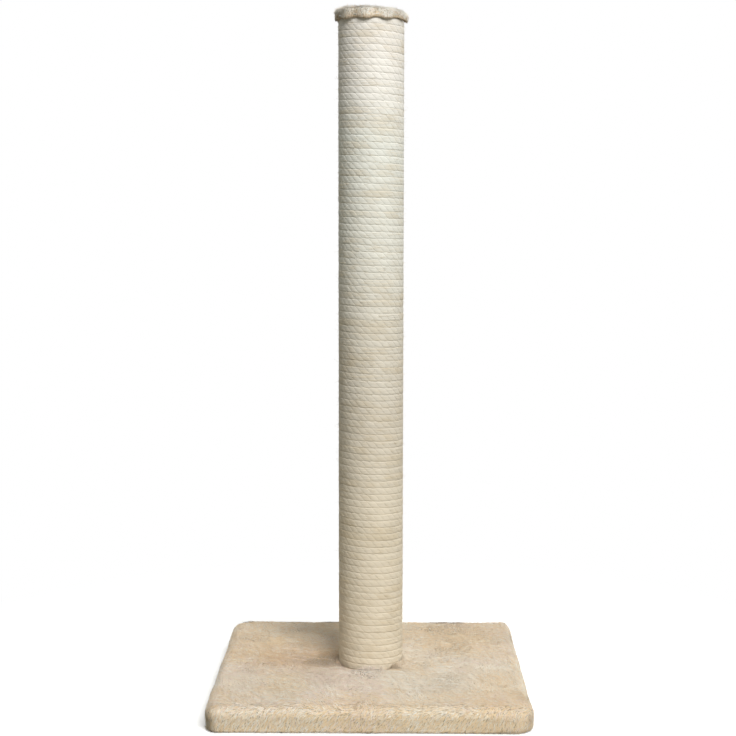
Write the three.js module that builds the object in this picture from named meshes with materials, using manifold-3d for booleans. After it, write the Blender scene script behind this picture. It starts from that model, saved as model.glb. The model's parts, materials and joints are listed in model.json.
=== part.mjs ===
// A free-standing cat scratching post: a plush-covered square base, a cardboard tube wound with
// one sisal rope, and a small plush cap. Millimetres, +Z up, the origin on the floor under the
// middle of the base, the front towards -Y.
import * as THREE from "three";
import { mergeVertices } from "three/addons/utils/BufferGeometryUtils.js";
import Module from "manifold-3d";

const wasm = await Module();
wasm.setup();

// ---------- Driving dimensions ----------

const FIT = 0.3; // clearance between pieces that rest on, or fit in, each other

// Base: a chipboard square in a plush cover
const BOARD_SIDE = 393;
const BOARD_THICK = 25;
const BOARD_CORNER = 16; // corner radius in plan
const BOARD_EASE = 2; // bevel along the upper edge
const BOLT_HOLE_RADIUS = 4.5;
const HEAD_RECESS = 1.1; // how deep the bolt's head lies inside the board
const COUNTERBORE_MARGIN = 1; // round the washer

const PLUSH_TOP = 6.4; // backing and standing nap, on the board
const PLUSH_SIDE = 6.4;
const PLUSH_CRUSHED = 2.4; // under the foot of the post
const PLUSH_ROUND = 11; // radius of the upper edge
const HEM_THICK = 3; // nap flattened between the board and the floor
const HEM_WIDTH = 42; // how far the cover is folded under
const HEM_ROUND = 4; // radius of the lower edge
const HEM_MITRE = 1.5; // slit between the two flaps that meet in each corner

// Post: a cardboard tube with a wooden plug in each end
const POST_LENGTH = 850;
const TUBE_DIAMETER = 70;
const TUBE_WALL = 4;
const FOOT_PLUG_HEIGHT = 34;
const TOP_PLUG_HEIGHT = 25;
const PLUG_BEVEL = 1.5;

// Winding: one rope, turn by turn from the foot to the head of the tube
const ROPE_RISE = 8.8; // aimed-at rise in one turn, adjusted so that both ends lie at the back
const ROPE_DEPTH = 7.2; // how far the rope stands out from the tube
const ROPE_CREST = 0.77; // width of the rope's outer face, as a share of its width on the tube
const ROPE_END = 0.35; // height of the rope's squeezed ends, as a share of a turn's
const TURN_GAP = 0.5; // between one turn and the next

// M8 fixing: bolt, washer and tee nut
const BOLT_RADIUS = 4;
const BOLT_HEAD_FLATS = 13;
const BOLT_HEAD_HEIGHT = 5.3;
const BOLT_END = 2.6; // the bolt's end, beyond the tee nut
const BOLT_CHAMFER = 0.8;
const WASHER_RADIUS = 15;
const WASHER_THICK = 2;
const NUT_FLANGE_RADIUS = 11;
const NUT_FLANGE_THICK = 1.5;
const NUT_BARREL_WALL = 1.2;
const NUT_BARREL_LENGTH = 10;
const NUT_PRONGS = 4;
const PRONG_LENGTH = 7;
const PRONG_WIDTH = 3;
const PRONG_THICK = 1.4;

// Staples that hold the tube to its plugs
const PLUG_STAPLES = 3; // in each plug
const STAPLE_CROWN = 10;
const STAPLE_LEG = 12;
const STAPLE_WIRE = 1.2;
const STAPLE_SINK = 0.5; // how far the crown is pressed into the cardboard

// Cap: a plywood disc in a plush cover that is gathered round its rim
const CAP_BOARD_THICK = 9;
const CAP_PLUSH_CROWN = 9.1; // over the middle of the disc
const CAP_PLUSH_RIM = 3.6; // outside the disc
const CAP_SHOULDER_DROP = 3.2; // from the crown down to the rounded shoulder
const CAP_SKIRT_DROP = 0.6; // the plush's edge, below the disc
const CAP_GATHERS = 10;
const GATHER_TURN = -9; // degrees round from the right to a fixing between two gathers
const GATHER_RELIEF = 0.9; // how far each gather swells out, and its edge dips
const SCREW_LENGTH = 28;
const SCREW_RADIUS = 1.9;
const SCREW_HEAD_RADIUS = 3.8;
const SCREW_TIP = 4;

// Facets: how finely round shapes are cut
const TURN_STEPS = 10.5; // steps in a turn of the rope, so corners of one turn lie between the next's
const ROUND_STEPS = 48;
const SMALL_ROUND_STEPS = 24;
const CORNER_STEPS = 7; // in a quarter turn of a plan corner
const EDGE_STEPS = 4; // in a quarter turn of a rounded edge
const GATHER_STEPS = 4; // in one gather of the cap

// ---------- Places and sizes that follow ----------

const BOARD_BOTTOM = HEM_THICK + FIT;
const BOARD_TOP = BOARD_BOTTOM + BOARD_THICK;
const COVER_FLOOR = BOARD_TOP + FIT; // the underside of the plush on the board
const COVER_SIDE = BOARD_SIDE + 2 * (FIT + PLUSH_SIDE);
const COVER_TOP = COVER_FLOOR + PLUSH_TOP;
const SEAT_FLOOR = COVER_FLOOR + PLUSH_CRUSHED;
const POST_FOOT = SEAT_FLOOR + FIT;
const POST_HEAD = POST_FOOT + POST_LENGTH;

const TUBE_RADIUS = TUBE_DIAMETER / 2;
const BORE_RADIUS = TUBE_RADIUS - TUBE_WALL;
const PLUG_RADIUS = BORE_RADIUS - FIT;

// The rope's steps are chords. The inner corners lie far enough out for the chords to clear the
// tube, and the outer ones stand out as far as the chords between them fall in.
const CHORD_DROP = Math.cos(Math.PI / TURN_STEPS);
const ROPE_INNER_CORNER = (TUBE_RADIUS + FIT) / CHORD_DROP;
const ROPE_OUTER_CORNER = (2 * (TUBE_RADIUS + FIT + ROPE_DEPTH)) / (1 + CHORD_DROP);
const ROPE_TURNS = Math.round(POST_LENGTH / ROPE_RISE + 1 - 2 * ROPE_END);
const ROPE_PITCH = POST_LENGTH / (ROPE_TURNS - 1 + 2 * ROPE_END);

const COUNTERBORE_RADIUS = WASHER_RADIUS + COUNTERBORE_MARGIN;
const HEAD_BOTTOM = BOARD_BOTTOM + HEAD_RECESS;
const HEAD_TOP = HEAD_BOTTOM + BOLT_HEAD_HEIGHT;
const WASHER_BOTTOM = HEAD_TOP + FIT;
const COUNTERBORE_TOP = WASHER_BOTTOM + WASHER_THICK + FIT;
const NUT_SEAT = POST_FOOT + FOOT_PLUG_HEIGHT + FIT;
const BOLT_TOP = NUT_SEAT + NUT_FLANGE_THICK + BOLT_END;
const NUT_BARREL_RADIUS = BOLT_RADIUS + FIT + NUT_BARREL_WALL;
const PRONG_CIRCLE = (NUT_BARREL_RADIUS + NUT_FLANGE_RADIUS) / 2;

const CAP_BOARD_RADIUS = ROPE_OUTER_CORNER;
const CAP_BOARD_BOTTOM = POST_HEAD + FIT;
const CAP_BOARD_TOP = CAP_BOARD_BOTTOM + CAP_BOARD_THICK;
const CAP_INNER_RADIUS = CAP_BOARD_RADIUS + FIT;
const CAP_INNER_TOP = CAP_BOARD_TOP + FIT;
const CAP_CROWN = CAP_INNER_TOP + CAP_PLUSH_CROWN;
const SCREW_TOP = CAP_BOARD_TOP - FIT;

// ---------- Finishes ----------

const PLUSH = new THREE.MeshStandardMaterial({ color: 0xd8c7aa, roughness: 0.95, metalness: 0 });
const SISAL = new THREE.MeshStandardMaterial({ color: 0xd6ccb6, roughness: 0.9, metalness: 0 });
const CARDBOARD = new THREE.MeshStandardMaterial({ color: 0xa98a62, roughness: 0.9, metalness: 0 });
const CHIPBOARD = new THREE.MeshStandardMaterial({ color: 0xc2a070, roughness: 0.8, metalness: 0 });
const TURNED_WOOD = new THREE.MeshStandardMaterial({ color: 0xd3b88a, roughness: 0.7, metalness: 0 });
const ZINC = new THREE.MeshStandardMaterial({ color: 0xb9bdc1, roughness: 0.35, metalness: 0.9 });

// ---------- Geometry helpers ----------

// A three.js geometry as a solid that can be cut and joined.
function solidOf(geometry) {
  const bare = geometry.clone();
  bare.deleteAttribute("normal");
  bare.deleteAttribute("uv");
  const merged = mergeVertices(bare, 1e-4);
  return new wasm.Manifold(
    new wasm.Mesh({
      numProp: 3,
      vertProperties: merged.attributes.position.array,
      triVerts: new Uint32Array(merged.index.array),
    }),
  );
}

// A solid back as a three.js geometry.
function geometryOf(solid) {
  const mesh = solid.getMesh();
  const geometry = new THREE.BufferGeometry();
  geometry.setAttribute("position", new THREE.BufferAttribute(mesh.vertProperties, 3));
  geometry.setIndex(new THREE.BufferAttribute(mesh.triVerts, 1));
  geometry.computeVertexNormals();
  return geometry;
}

function cut(body, ...tools) {
  const solid = tools.reduce((left, tool) => left.subtract(solidOf(tool)), solidOf(body));
  return geometryOf(solid);
}

function join(...bodies) {
  return geometryOf(bodies.map(solidOf).reduce((all, body) => all.add(body)));
}

// A closed body through a row of rings with equal numbers of points. The points of a ring run
// anticlockwise seen from the last ring's side, and a fan closes the first and the last ring.
function loft(rings) {
  const count = rings[0].length;
  const points = rings.flat();
  const index = [];
  for (let row = 0; row + 1 < rings.length; row++) {
    for (let i = 0; i < count; i++) {
      const next = (i + 1) % count;
      const a = row * count + i;
      const b = row * count + next;
      index.push(a, b, b + count, a, b + count, a + count);
    }
  }
  const closeRing = (ring, turned) => {
    const start = ring * count;
    for (let i = 1; i + 1 < count; i++) {
      if (turned) index.push(start, start + i + 1, start + i);
      else index.push(start, start + i, start + i + 1);
    }
  };
  closeRing(0, true);
  closeRing(rings.length - 1, false);
  const geometry = new THREE.BufferGeometry().setFromPoints(points);
  geometry.setIndex(index);
  geometry.computeVertexNormals();
  return geometry;
}

// A solid of revolution about Z from a closed profile of [radius, height] pairs, listed so that
// the material lies on the left.
function turned(profile, steps = ROUND_STEPS) {
  const points = [...profile, profile[0]].map(([r, z]) => new THREE.Vector2(r, z));
  return new THREE.LatheGeometry(points, steps).rotateX(Math.PI / 2);
}

function roundRod(radius, bottom, top, steps = ROUND_STEPS) {
  return turned([[0, bottom], [radius, bottom], [radius, top], [0, top]], steps);
}

// The points of a square with rounded corners, anticlockwise seen from above.
function roundedSquare(side, corner, z) {
  const arm = side / 2 - corner;
  const ring = [];
  for (let quarter = 0; quarter < 4; quarter++) {
    const middle = Math.PI / 4 + (quarter * Math.PI) / 2;
    const x = Math.SQRT2 * arm * Math.cos(middle);
    const y = Math.SQRT2 * arm * Math.sin(middle);
    for (let i = 0; i <= CORNER_STEPS; i++) {
      const angle = ((quarter + i / CORNER_STEPS) * Math.PI) / 2;
      ring.push(new THREE.Vector3(x + corner * Math.cos(angle), y + corner * Math.sin(angle), z));
    }
  }
  return ring;
}

// A square slab from its levels, each [how far it is drawn in, height].
function slab(side, corner, levels) {
  return loft(levels.map(([inset, z]) => roundedSquare(side - 2 * inset, corner - inset, z)));
}

function named(name, geometry, material) {
  const mesh = new THREE.Mesh(geometry, material);
  mesh.name = name;
  return mesh;
}

// ---------- Base ----------

function boardLevels(bottom, top) {
  return [[0, bottom], [0, top - BOARD_EASE], [BOARD_EASE, top]];
}

function baseBoard() {
  const board = slab(BOARD_SIDE, BOARD_CORNER, boardLevels(BOARD_BOTTOM, BOARD_TOP));
  const hole = roundRod(BOLT_HOLE_RADIUS, 0, BOARD_TOP + 1, SMALL_ROUND_STEPS);
  const counterbore = roundRod(COUNTERBORE_RADIUS, 0, COUNTERBORE_TOP);
  return cut(board, hole, counterbore);
}

// The plush stands over the board and its sides, rounds the edges and folds under to a hem. The
// foot of the post sits in it, on crushed plush.
function baseCover() {
  const levels = [];
  for (let i = 0; i <= EDGE_STEPS; i++) {
    const angle = (i / EDGE_STEPS) * (Math.PI / 2);
    levels.push([HEM_ROUND * (1 - Math.sin(angle)), HEM_ROUND * (1 - Math.cos(angle))]);
  }
  for (let i = 0; i <= EDGE_STEPS; i++) {
    const angle = (i / EDGE_STEPS) * (Math.PI / 2);
    const height = COVER_TOP - PLUSH_ROUND + PLUSH_ROUND * Math.sin(angle);
    levels.push([PLUSH_ROUND * (1 - Math.cos(angle)), height]);
  }
  const outside = slab(COVER_SIDE, BOARD_CORNER + FIT + PLUSH_SIDE, levels);
  const hollow = slab(BOARD_SIDE + 2 * FIT, BOARD_CORNER + FIT, boardLevels(HEM_THICK, COVER_FLOOR));
  const hemOpening = slab(BOARD_SIDE - 2 * HEM_WIDTH, BOARD_CORNER, [[0, -1], [0, HEM_THICK + 1]]);
  const boltHole = roundRod(BOLT_HOLE_RADIUS, BOARD_TOP, COVER_TOP + 1, SMALL_ROUND_STEPS);
  const seat = roundRod(ROPE_OUTER_CORNER + FIT, SEAT_FLOOR, COVER_TOP + 1);
  return cut(outside, hollow, hemOpening, boltHole, seat, ...hemMitres());
}

// The slits on the diagonals, from inside the hem's opening to where the plush turns under.
function hemMitres() {
  const from = BOARD_SIDE / 2 - HEM_WIDTH - BOARD_CORNER;
  const to = BOARD_SIDE / 2 - HEM_ROUND - BOARD_CORNER * (1 - Math.SQRT1_2);
  const length = (to - from) * Math.SQRT2;
  return Array.from({ length: 4 }, (_, corner) => {
    const slit = new THREE.BoxGeometry(length, HEM_MITRE, 2 * (HEM_THICK + FIT));
    slit.translate(from * Math.SQRT2 + length / 2, 0, 0);
    return slit.rotateZ(Math.PI / 4 + (corner * Math.PI) / 2);
  });
}

// ---------- Fixing at the foot ----------

// A hexagon head with its corners turned down, and a plain shank with a chamfered end.
function footBolt() {
  const headRadius = BOLT_HEAD_FLATS / Math.sqrt(3);
  const bevel = headRadius - BOLT_HEAD_FLATS / 2;
  const hexagon = new THREE.CylinderGeometry(headRadius, headRadius, BOLT_HEAD_HEIGHT, 6);
  hexagon.rotateX(Math.PI / 2).translate(0, 0, (HEAD_BOTTOM + HEAD_TOP) / 2);
  const blank = turned([
    [0, HEAD_BOTTOM],
    [BOLT_HEAD_FLATS / 2, HEAD_BOTTOM],
    [headRadius, HEAD_BOTTOM + bevel / 2],
    [headRadius, HEAD_TOP],
    [0, HEAD_TOP],
  ]);
  const head = geometryOf(solidOf(hexagon).intersect(solidOf(blank)));
  const shank = turned(
    [
      [0, HEAD_BOTTOM + BOLT_HEAD_HEIGHT / 2],
      [BOLT_RADIUS, HEAD_BOTTOM + BOLT_HEAD_HEIGHT / 2],
      [BOLT_RADIUS, BOLT_TOP - BOLT_CHAMFER],
      [BOLT_RADIUS - BOLT_CHAMFER, BOLT_TOP],
      [0, BOLT_TOP],
    ],
    SMALL_ROUND_STEPS,
  );
  return join(head, shank);
}

function footWasher() {
  const top = WASHER_BOTTOM + WASHER_THICK;
  return turned([
    [BOLT_RADIUS + FIT, WASHER_BOTTOM],
    [WASHER_RADIUS, WASHER_BOTTOM],
    [WASHER_RADIUS, top],
    [BOLT_RADIUS + FIT, top],
  ]);
}

// One prong of the tee nut, pointing down, at its place round the nut. Grown, it is its slot.
function prong(number, grow) {
  const half = PRONG_WIDTH / 2 + grow;
  const tip = NUT_SEAT - PRONG_LENGTH - 2 * grow;
  const outline = new THREE.Shape([
    new THREE.Vector2(-half, NUT_SEAT + NUT_FLANGE_THICK / 2),
    new THREE.Vector2(-half, tip + half),
    new THREE.Vector2(0, tip),
    new THREE.Vector2(half, tip + half),
    new THREE.Vector2(half, NUT_SEAT + NUT_FLANGE_THICK / 2),
  ]);
  const depth = PRONG_THICK + 2 * grow;
  const blade = new THREE.ExtrudeGeometry(outline, { depth, bevelEnabled: false });
  blade.translate(0, 0, -depth / 2).rotateX(Math.PI / 2);
  blade.translate(0, PRONG_CIRCLE, 0);
  return blade.rotateZ(Math.PI / 4 + (number * 2 * Math.PI) / NUT_PRONGS);
}

function prongs(grow) {
  return Array.from({ length: NUT_PRONGS }, (_, number) => prong(number, grow));
}

// The flange lies on the plug's inner end, so the bolt draws the nut into the wood.
function teeNut() {
  const inner = BOLT_RADIUS + FIT;
  const body = turned(
    [
      [inner, NUT_SEAT - NUT_BARREL_LENGTH],
      [NUT_BARREL_RADIUS, NUT_SEAT - NUT_BARREL_LENGTH],
      [NUT_BARREL_RADIUS, NUT_SEAT],
      [NUT_FLANGE_RADIUS, NUT_SEAT],
      [NUT_FLANGE_RADIUS, NUT_SEAT + NUT_FLANGE_THICK],
      [inner, NUT_SEAT + NUT_FLANGE_THICK],
    ],
    SMALL_ROUND_STEPS,
  );
  return join(body, ...prongs(0));
}

// ---------- Post ----------

// A wire staple seen from its side, its crown upright and its legs pointing at the post's axis.
// Grown, and with its crown's side opened outwards, it is the slot that it is driven into.
function staple(angle, height, grow, opened) {
  const half = STAPLE_CROWN / 2 + grow;
  const wire = STAPLE_WIRE + 2 * grow;
  const outer = TUBE_RADIUS - STAPLE_SINK + (opened ? STAPLE_SINK + 1 : 0);
  const under = TUBE_RADIUS - STAPLE_SINK - STAPLE_WIRE - grow;
  const tip = TUBE_RADIUS - STAPLE_SINK - STAPLE_LEG - grow;
  const outline = new THREE.Shape([
    new THREE.Vector2(outer, -half),
    new THREE.Vector2(outer, half),
    new THREE.Vector2(tip, half),
    new THREE.Vector2(tip, half - wire),
    new THREE.Vector2(under, half - wire),
    new THREE.Vector2(under, wire - half),
    new THREE.Vector2(tip, wire - half),
    new THREE.Vector2(tip, -half),
  ]);
  const body = new THREE.ExtrudeGeometry(outline, { depth: wire, bevelEnabled: false });
  body.translate(0, 0, -wire / 2).rotateX(Math.PI / 2);
  return body.rotateZ(angle).translate(0, 0, height);
}

const FOOT_STAPLE_HEIGHT = POST_FOOT + FOOT_PLUG_HEIGHT / 2;
const TOP_STAPLE_HEIGHT = POST_HEAD - TOP_PLUG_HEIGHT / 2;

function stapleAngle(number) {
  return (number * 2 * Math.PI) / PLUG_STAPLES;
}

function stapleSlots(height) {
  return Array.from({ length: PLUG_STAPLES }, (_, number) =>
    staple(stapleAngle(number), height, FIT, true),
  );
}

function postTube() {
  const tube = turned([
    [BORE_RADIUS, POST_FOOT],
    [TUBE_RADIUS, POST_FOOT],
    [TUBE_RADIUS, POST_HEAD],
    [BORE_RADIUS, POST_HEAD],
  ]);
  return cut(tube, ...stapleSlots(FOOT_STAPLE_HEIGHT), ...stapleSlots(TOP_STAPLE_HEIGHT));
}

// A turned plug, its leading end bevelled: the upper end of the foot plug, the lower of the top's.
function plug(bottom, top, leadsUp) {
  const low = leadsUp ? 0 : PLUG_BEVEL;
  const high = leadsUp ? PLUG_BEVEL : 0;
  return turned([
    [0, bottom],
    [PLUG_RADIUS - low, bottom],
    ...(leadsUp ? [] : [[PLUG_RADIUS, bottom + low]]),
    ...(leadsUp ? [[PLUG_RADIUS, top - high]] : []),
    [PLUG_RADIUS - high, top],
    [0, top],
  ]);
}

function footPlug() {
  const top = POST_FOOT + FOOT_PLUG_HEIGHT;
  const bore = roundRod(NUT_BARREL_RADIUS + FIT, POST_FOOT - 1, top + 1, SMALL_ROUND_STEPS);
  return cut(plug(POST_FOOT, top, true), bore, ...prongs(FIT), ...stapleSlots(FOOT_STAPLE_HEIGHT));
}

function topPlug() {
  const body = plug(POST_HEAD - TOP_PLUG_HEIGHT, POST_HEAD, false);
  return cut(body, capScrewShape(FIT), ...stapleSlots(TOP_STAPLE_HEIGHT));
}

// ---------- Rope ----------

// The border above the rope after a number of turns, where the next turn starts. At the foot and
// the head of the post the rope is squeezed thin between its border and the post's end.
function turnBorder(turns) {
  const height = POST_FOOT + (turns + ROPE_END) * ROPE_PITCH;
  return Math.min(Math.max(height, POST_FOOT - TURN_GAP / 2), POST_HEAD + TURN_GAP / 2);
}

// The four corners of the rope's section after a number of steps: a broad face on the tube and a
// narrower crest. They are carried round and up a left-hand helix, which starts at the back and
// rises to the left as seen from outside.
function ropeSection(step) {
  const turns = step / TURN_STEPS;
  const angle = Math.PI / 2 - turns * 2 * Math.PI;
  const bottom = turnBorder(turns - 1) + TURN_GAP / 2;
  const top = turnBorder(turns) - TURN_GAP / 2;
  const bevel = ((top - bottom) * (1 - ROPE_CREST)) / 2;
  const corner = (radius, height) =>
    new THREE.Vector3(radius * Math.cos(angle), radius * Math.sin(angle), height);
  return [
    corner(ROPE_INNER_CORNER, bottom),
    corner(ROPE_OUTER_CORNER, bottom + bevel),
    corner(ROPE_OUTER_CORNER, top - bevel),
    corner(ROPE_INNER_CORNER, top),
  ];
}

// The distance from a point to the nearest of a row of joined points.
function distanceToPath(point, path) {
  const nearest = new THREE.Vector3();
  return Math.min(
    ...path.slice(1).map((end, i) => {
      new THREE.Line3(path[i], end).closestPointToPoint(point, true, nearest);
      return nearest.distanceTo(point);
    }),
  );
}

// The least gap from one turn to the next, measured from points along the top edges of a turn to
// the bottom edges of the turn above it.
function leastTurnGap(sections) {
  const samples = 4; // points on each step
  const reach = Math.ceil(TURN_STEPS) + 1;
  let least = Infinity;
  for (let step = 0; step + reach + 2 <= sections.length; step++) {
    const above = sections.slice(step + reach - 2, step + reach + 2);
    for (let i = 0; i < samples; i++) {
      for (const [top, bottom] of [[3, 0], [2, 1]]) {
        const point = sections[step][top].clone().lerp(sections[step + 1][top], i / samples);
        const path = above.map((section) => section[bottom]);
        least = Math.min(least, distanceToPath(point, path));
      }
    }
  }
  return least;
}

function sisalWinding() {
  const steps = Math.floor(ROPE_TURNS * TURN_STEPS);
  const sections = Array.from({ length: steps + 1 }, (_, step) => ropeSection(step));
  console.log(`sisal_winding: ${(steps / TURN_STEPS).toFixed(1)} turns,`,
    `least gap between turns ${leastTurnGap(sections).toFixed(2)} mm`);
  return loft(sections);
}

// ---------- Cap ----------

// The countersunk screw, pointing down. Grown, it is its hole.
function capScrewShape(grow) {
  const bottom = SCREW_TOP - SCREW_LENGTH - grow;
  const headDepth = SCREW_HEAD_RADIUS - SCREW_RADIUS;
  const lift = grow > 0 ? FIT + 1 : 0;
  return turned(
    [
      [0, bottom],
      [SCREW_RADIUS + grow, bottom + SCREW_TIP],
      [SCREW_RADIUS + grow, SCREW_TOP - headDepth],
      [SCREW_HEAD_RADIUS + grow, SCREW_TOP],
      ...(grow > 0 ? [[SCREW_HEAD_RADIUS + grow, SCREW_TOP + lift]] : []),
      [0, SCREW_TOP + lift],
    ],
    SMALL_ROUND_STEPS,
  );
}

function capBoard() {
  return cut(roundRod(CAP_BOARD_RADIUS, CAP_BOARD_BOTTOM, CAP_BOARD_TOP), capScrewShape(FIT));
}

// One ring of the cap's cover. A gather swells its radius and dips its height by their shares of
// the relief, and is fullest midway between two fixings.
function capRing(radius, height, swell, dip) {
  const count = CAP_GATHERS * GATHER_STEPS;
  return Array.from({ length: count }, (_, i) => {
    const angle = (i * 2 * Math.PI) / count + (GATHER_TURN * Math.PI) / 180;
    const fullness = (GATHER_RELIEF * (1 - Math.cos((2 * Math.PI * i) / GATHER_STEPS))) / 2;
    const r = radius + swell * fullness;
    return new THREE.Vector3(r * Math.cos(angle), r * Math.sin(angle), height - dip * fullness);
  });
}

// The plush lies over the disc with a soft crown, and its raw edge hangs a little below the disc.
function capCover() {
  const skirt = CAP_BOARD_BOTTOM - CAP_SKIRT_DROP;
  const rim = CAP_INNER_RADIUS + CAP_PLUSH_RIM;
  const shoulder = CAP_CROWN - CAP_SHOULDER_DROP;
  const waist = (skirt + shoulder) / 2;
  return loft([
    capRing(CAP_INNER_RADIUS / 2, CAP_INNER_TOP, 0, 0),
    capRing(CAP_INNER_RADIUS, CAP_INNER_TOP, 0, 0),
    capRing(CAP_INNER_RADIUS, skirt, 0, 1),
    capRing(rim - CAP_PLUSH_RIM / 4, skirt, 1, 1),
    capRing(rim, skirt + CAP_PLUSH_RIM / 2, 1, 1),
    capRing(rim, waist, 0.6, 0),
    capRing(rim - CAP_PLUSH_RIM / 4, (waist + shoulder) / 2 + CAP_PLUSH_RIM / 4, 0.4, 0),
    capRing(rim - CAP_PLUSH_RIM, shoulder + CAP_PLUSH_RIM / 4, 0.2, 0),
    capRing(rim * 0.75, CAP_CROWN - CAP_SHOULDER_DROP / 3, 0, 0),
    capRing(rim * 0.4, CAP_CROWN, 0, 0),
  ]);
}

// ---------- Assembly ----------

const group = new THREE.Group();

group.add(
  named("base_board", baseBoard(), CHIPBOARD),
  named("base_cover", baseCover(), PLUSH),
  named("foot_washer", footWasher(), ZINC),
  named("foot_bolt", footBolt(), ZINC),
  named("tee_nut", teeNut(), ZINC),
  named("foot_plug", footPlug(), TURNED_WOOD),
  named("top_plug", topPlug(), TURNED_WOOD),
  named("post_tube", postTube(), CARDBOARD),
  named("sisal_winding", sisalWinding(), SISAL),
  named("cap_board", capBoard(), TURNED_WOOD),
  named("cap_screw", capScrewShape(0), ZINC),
  named("cap_cover", capCover(), PLUSH),
);

for (let number = 0; number < PLUG_STAPLES; number++) {
  const low = staple(stapleAngle(number), FOOT_STAPLE_HEIGHT, 0, false);
  const high = staple(stapleAngle(number), TOP_STAPLE_HEIGHT, 0, false);
  group.add(named(`foot_plug_staple_${number + 1}`, low, ZINC));
  group.add(named(`top_plug_staple_${number + 1}`, high, ZINC));
}

export default group;
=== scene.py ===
"""The looks of a free-standing cat scratching post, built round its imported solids.

A flat square base in pale plush, an upright wound with one sisal rope, and a small plush cap.
Lengths are metres, +Z is up, the origin lies on the floor under the middle of the base, and the
front faces -Y.
"""
import json
import logging
import math
from dataclasses import dataclass, field
from enum import Enum
from typing import Any, Callable, Mapping, Optional, Sequence, Union

import bpy
import numpy as np
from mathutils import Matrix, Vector


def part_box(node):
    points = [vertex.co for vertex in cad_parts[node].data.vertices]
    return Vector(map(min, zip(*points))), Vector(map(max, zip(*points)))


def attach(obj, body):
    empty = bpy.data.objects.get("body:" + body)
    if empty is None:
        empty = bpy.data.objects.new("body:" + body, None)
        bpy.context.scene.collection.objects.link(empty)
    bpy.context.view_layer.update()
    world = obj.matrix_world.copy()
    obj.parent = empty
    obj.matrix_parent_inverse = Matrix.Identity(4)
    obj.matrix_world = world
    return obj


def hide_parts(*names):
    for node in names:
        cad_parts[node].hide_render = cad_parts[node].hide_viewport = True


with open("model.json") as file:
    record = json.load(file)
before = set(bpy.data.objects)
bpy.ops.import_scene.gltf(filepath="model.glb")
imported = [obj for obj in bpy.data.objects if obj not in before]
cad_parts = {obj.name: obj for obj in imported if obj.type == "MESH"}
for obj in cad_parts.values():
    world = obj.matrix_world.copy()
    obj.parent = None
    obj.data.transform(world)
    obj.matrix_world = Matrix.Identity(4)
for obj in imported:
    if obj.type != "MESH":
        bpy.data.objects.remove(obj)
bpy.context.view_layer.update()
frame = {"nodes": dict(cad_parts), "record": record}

log = logging.getLogger("scratching_post")

MM = 0.001
TURN = 2 * math.pi
NAP_MAP = "OFBake"  # the UV map of a nap piece: tone across, colour cast and height up
DARKEST = -0.7  # the tone at the left of a nap's map, where 0 is shaded pile and 1, its right, lit
TONE = "tone"  # the attribute that carries the rope's light and dark lengths
Colour = tuple[float, float, float]
Array = np.ndarray
Material = bpy.types.Material
Piece = bpy.types.Object
Random = np.random.Generator
Span = tuple[float, float]  # the least and the most


class Slot(Enum):
    """The record's material slots."""

    PLUSH = "plush"
    SISAL = "sisal"
    CARDBOARD = "cardboard"
    CHIPBOARD = "chipboard"
    TURNED_WOOD = "turned_wood"
    ZINC = "zinc"


class Cast(Enum):
    """The colour casts of the plush, in the order of their rows in the nap's UV map."""

    TAN = 0
    BEIGE = 1
    ROSE = 2
    CREAM = 3

    @classmethod
    def picked(cls, odds: Sequence[Array], random: Random) -> Array:
        """Picks a cast for each tuft.

        Args:
            odds: For each cast in order, its odds at each tuft. They need not add up to 1.
            random: The source of random numbers.

        Returns:
            The casts' row numbers.
        """
        shares = np.stack(odds, -1).clip(0.02)
        stacked = np.cumsum(shares / shares.sum(-1, keepdims=True), -1)
        return (random.random(len(shares))[:, None] > stacked).sum(-1).clip(0, len(cls) - 1)


def paint(red: int, green: int, blue: int) -> Colour:
    """A colour given as it looks on a screen, from 0 to 255, as the linear colour shaders take."""
    return tuple(((c / 255 + 0.055) / 1.055) ** 2.4 for c in (red, green, blue))


# --- places taken from the frame


@dataclass(frozen=True)
class Room:
    """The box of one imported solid."""

    low: Vector
    high: Vector

    @classmethod
    def of(cls, node: str) -> "Room":
        """The box of the solid with that name."""
        return cls(*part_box(node))

    @property
    def half(self) -> float:
        """Half its width along X."""
        return (self.high.x - self.low.x) / 2


# --- shapes


@dataclass
class Shape:
    """A closed surface: its points and triangles, and what a nap carries besides."""

    points: Array
    triangles: Array
    uv: Optional[Array] = None
    normals: Optional[Array] = None
    tone: Optional[Array] = None


def unit(vectors: Array) -> Array:
    """The vectors, each divided by its length."""
    return vectors / np.maximum(np.linalg.norm(vectors, axis=-1, keepdims=True), 1e-12)


def around(angle: Array) -> Array:
    """Level unit vectors at angles round the post from +X: (cos a, sin a, 0)."""
    return np.stack([np.cos(angle), np.sin(angle), 0 * angle], -1)


def lattice(rows: int, columns: int, rows_close: bool = False) -> Array:
    """Joins a grid of points, whose columns close on themselves, with two triangles a cell.

    Args:
        rows: The number of rows.
        columns: The number of points in a row.
        rows_close: Whether the last row joins the first.

    Returns:
        The triangles' point numbers, where point (row, column) is row * columns + column.
    """
    row = np.arange(rows if rows_close else rows - 1)[:, None]
    column = np.arange(columns)[None, :]
    right, above = (column + 1) % columns, (row + 1) % rows
    a, b = row * columns + column, row * columns + right
    c, d = above * columns + right, above * columns + column
    halves = (np.stack([a, b, c], -1), np.stack([a, c, d], -1))
    return np.concatenate([half.reshape(-1, 3) for half in halves])


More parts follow.
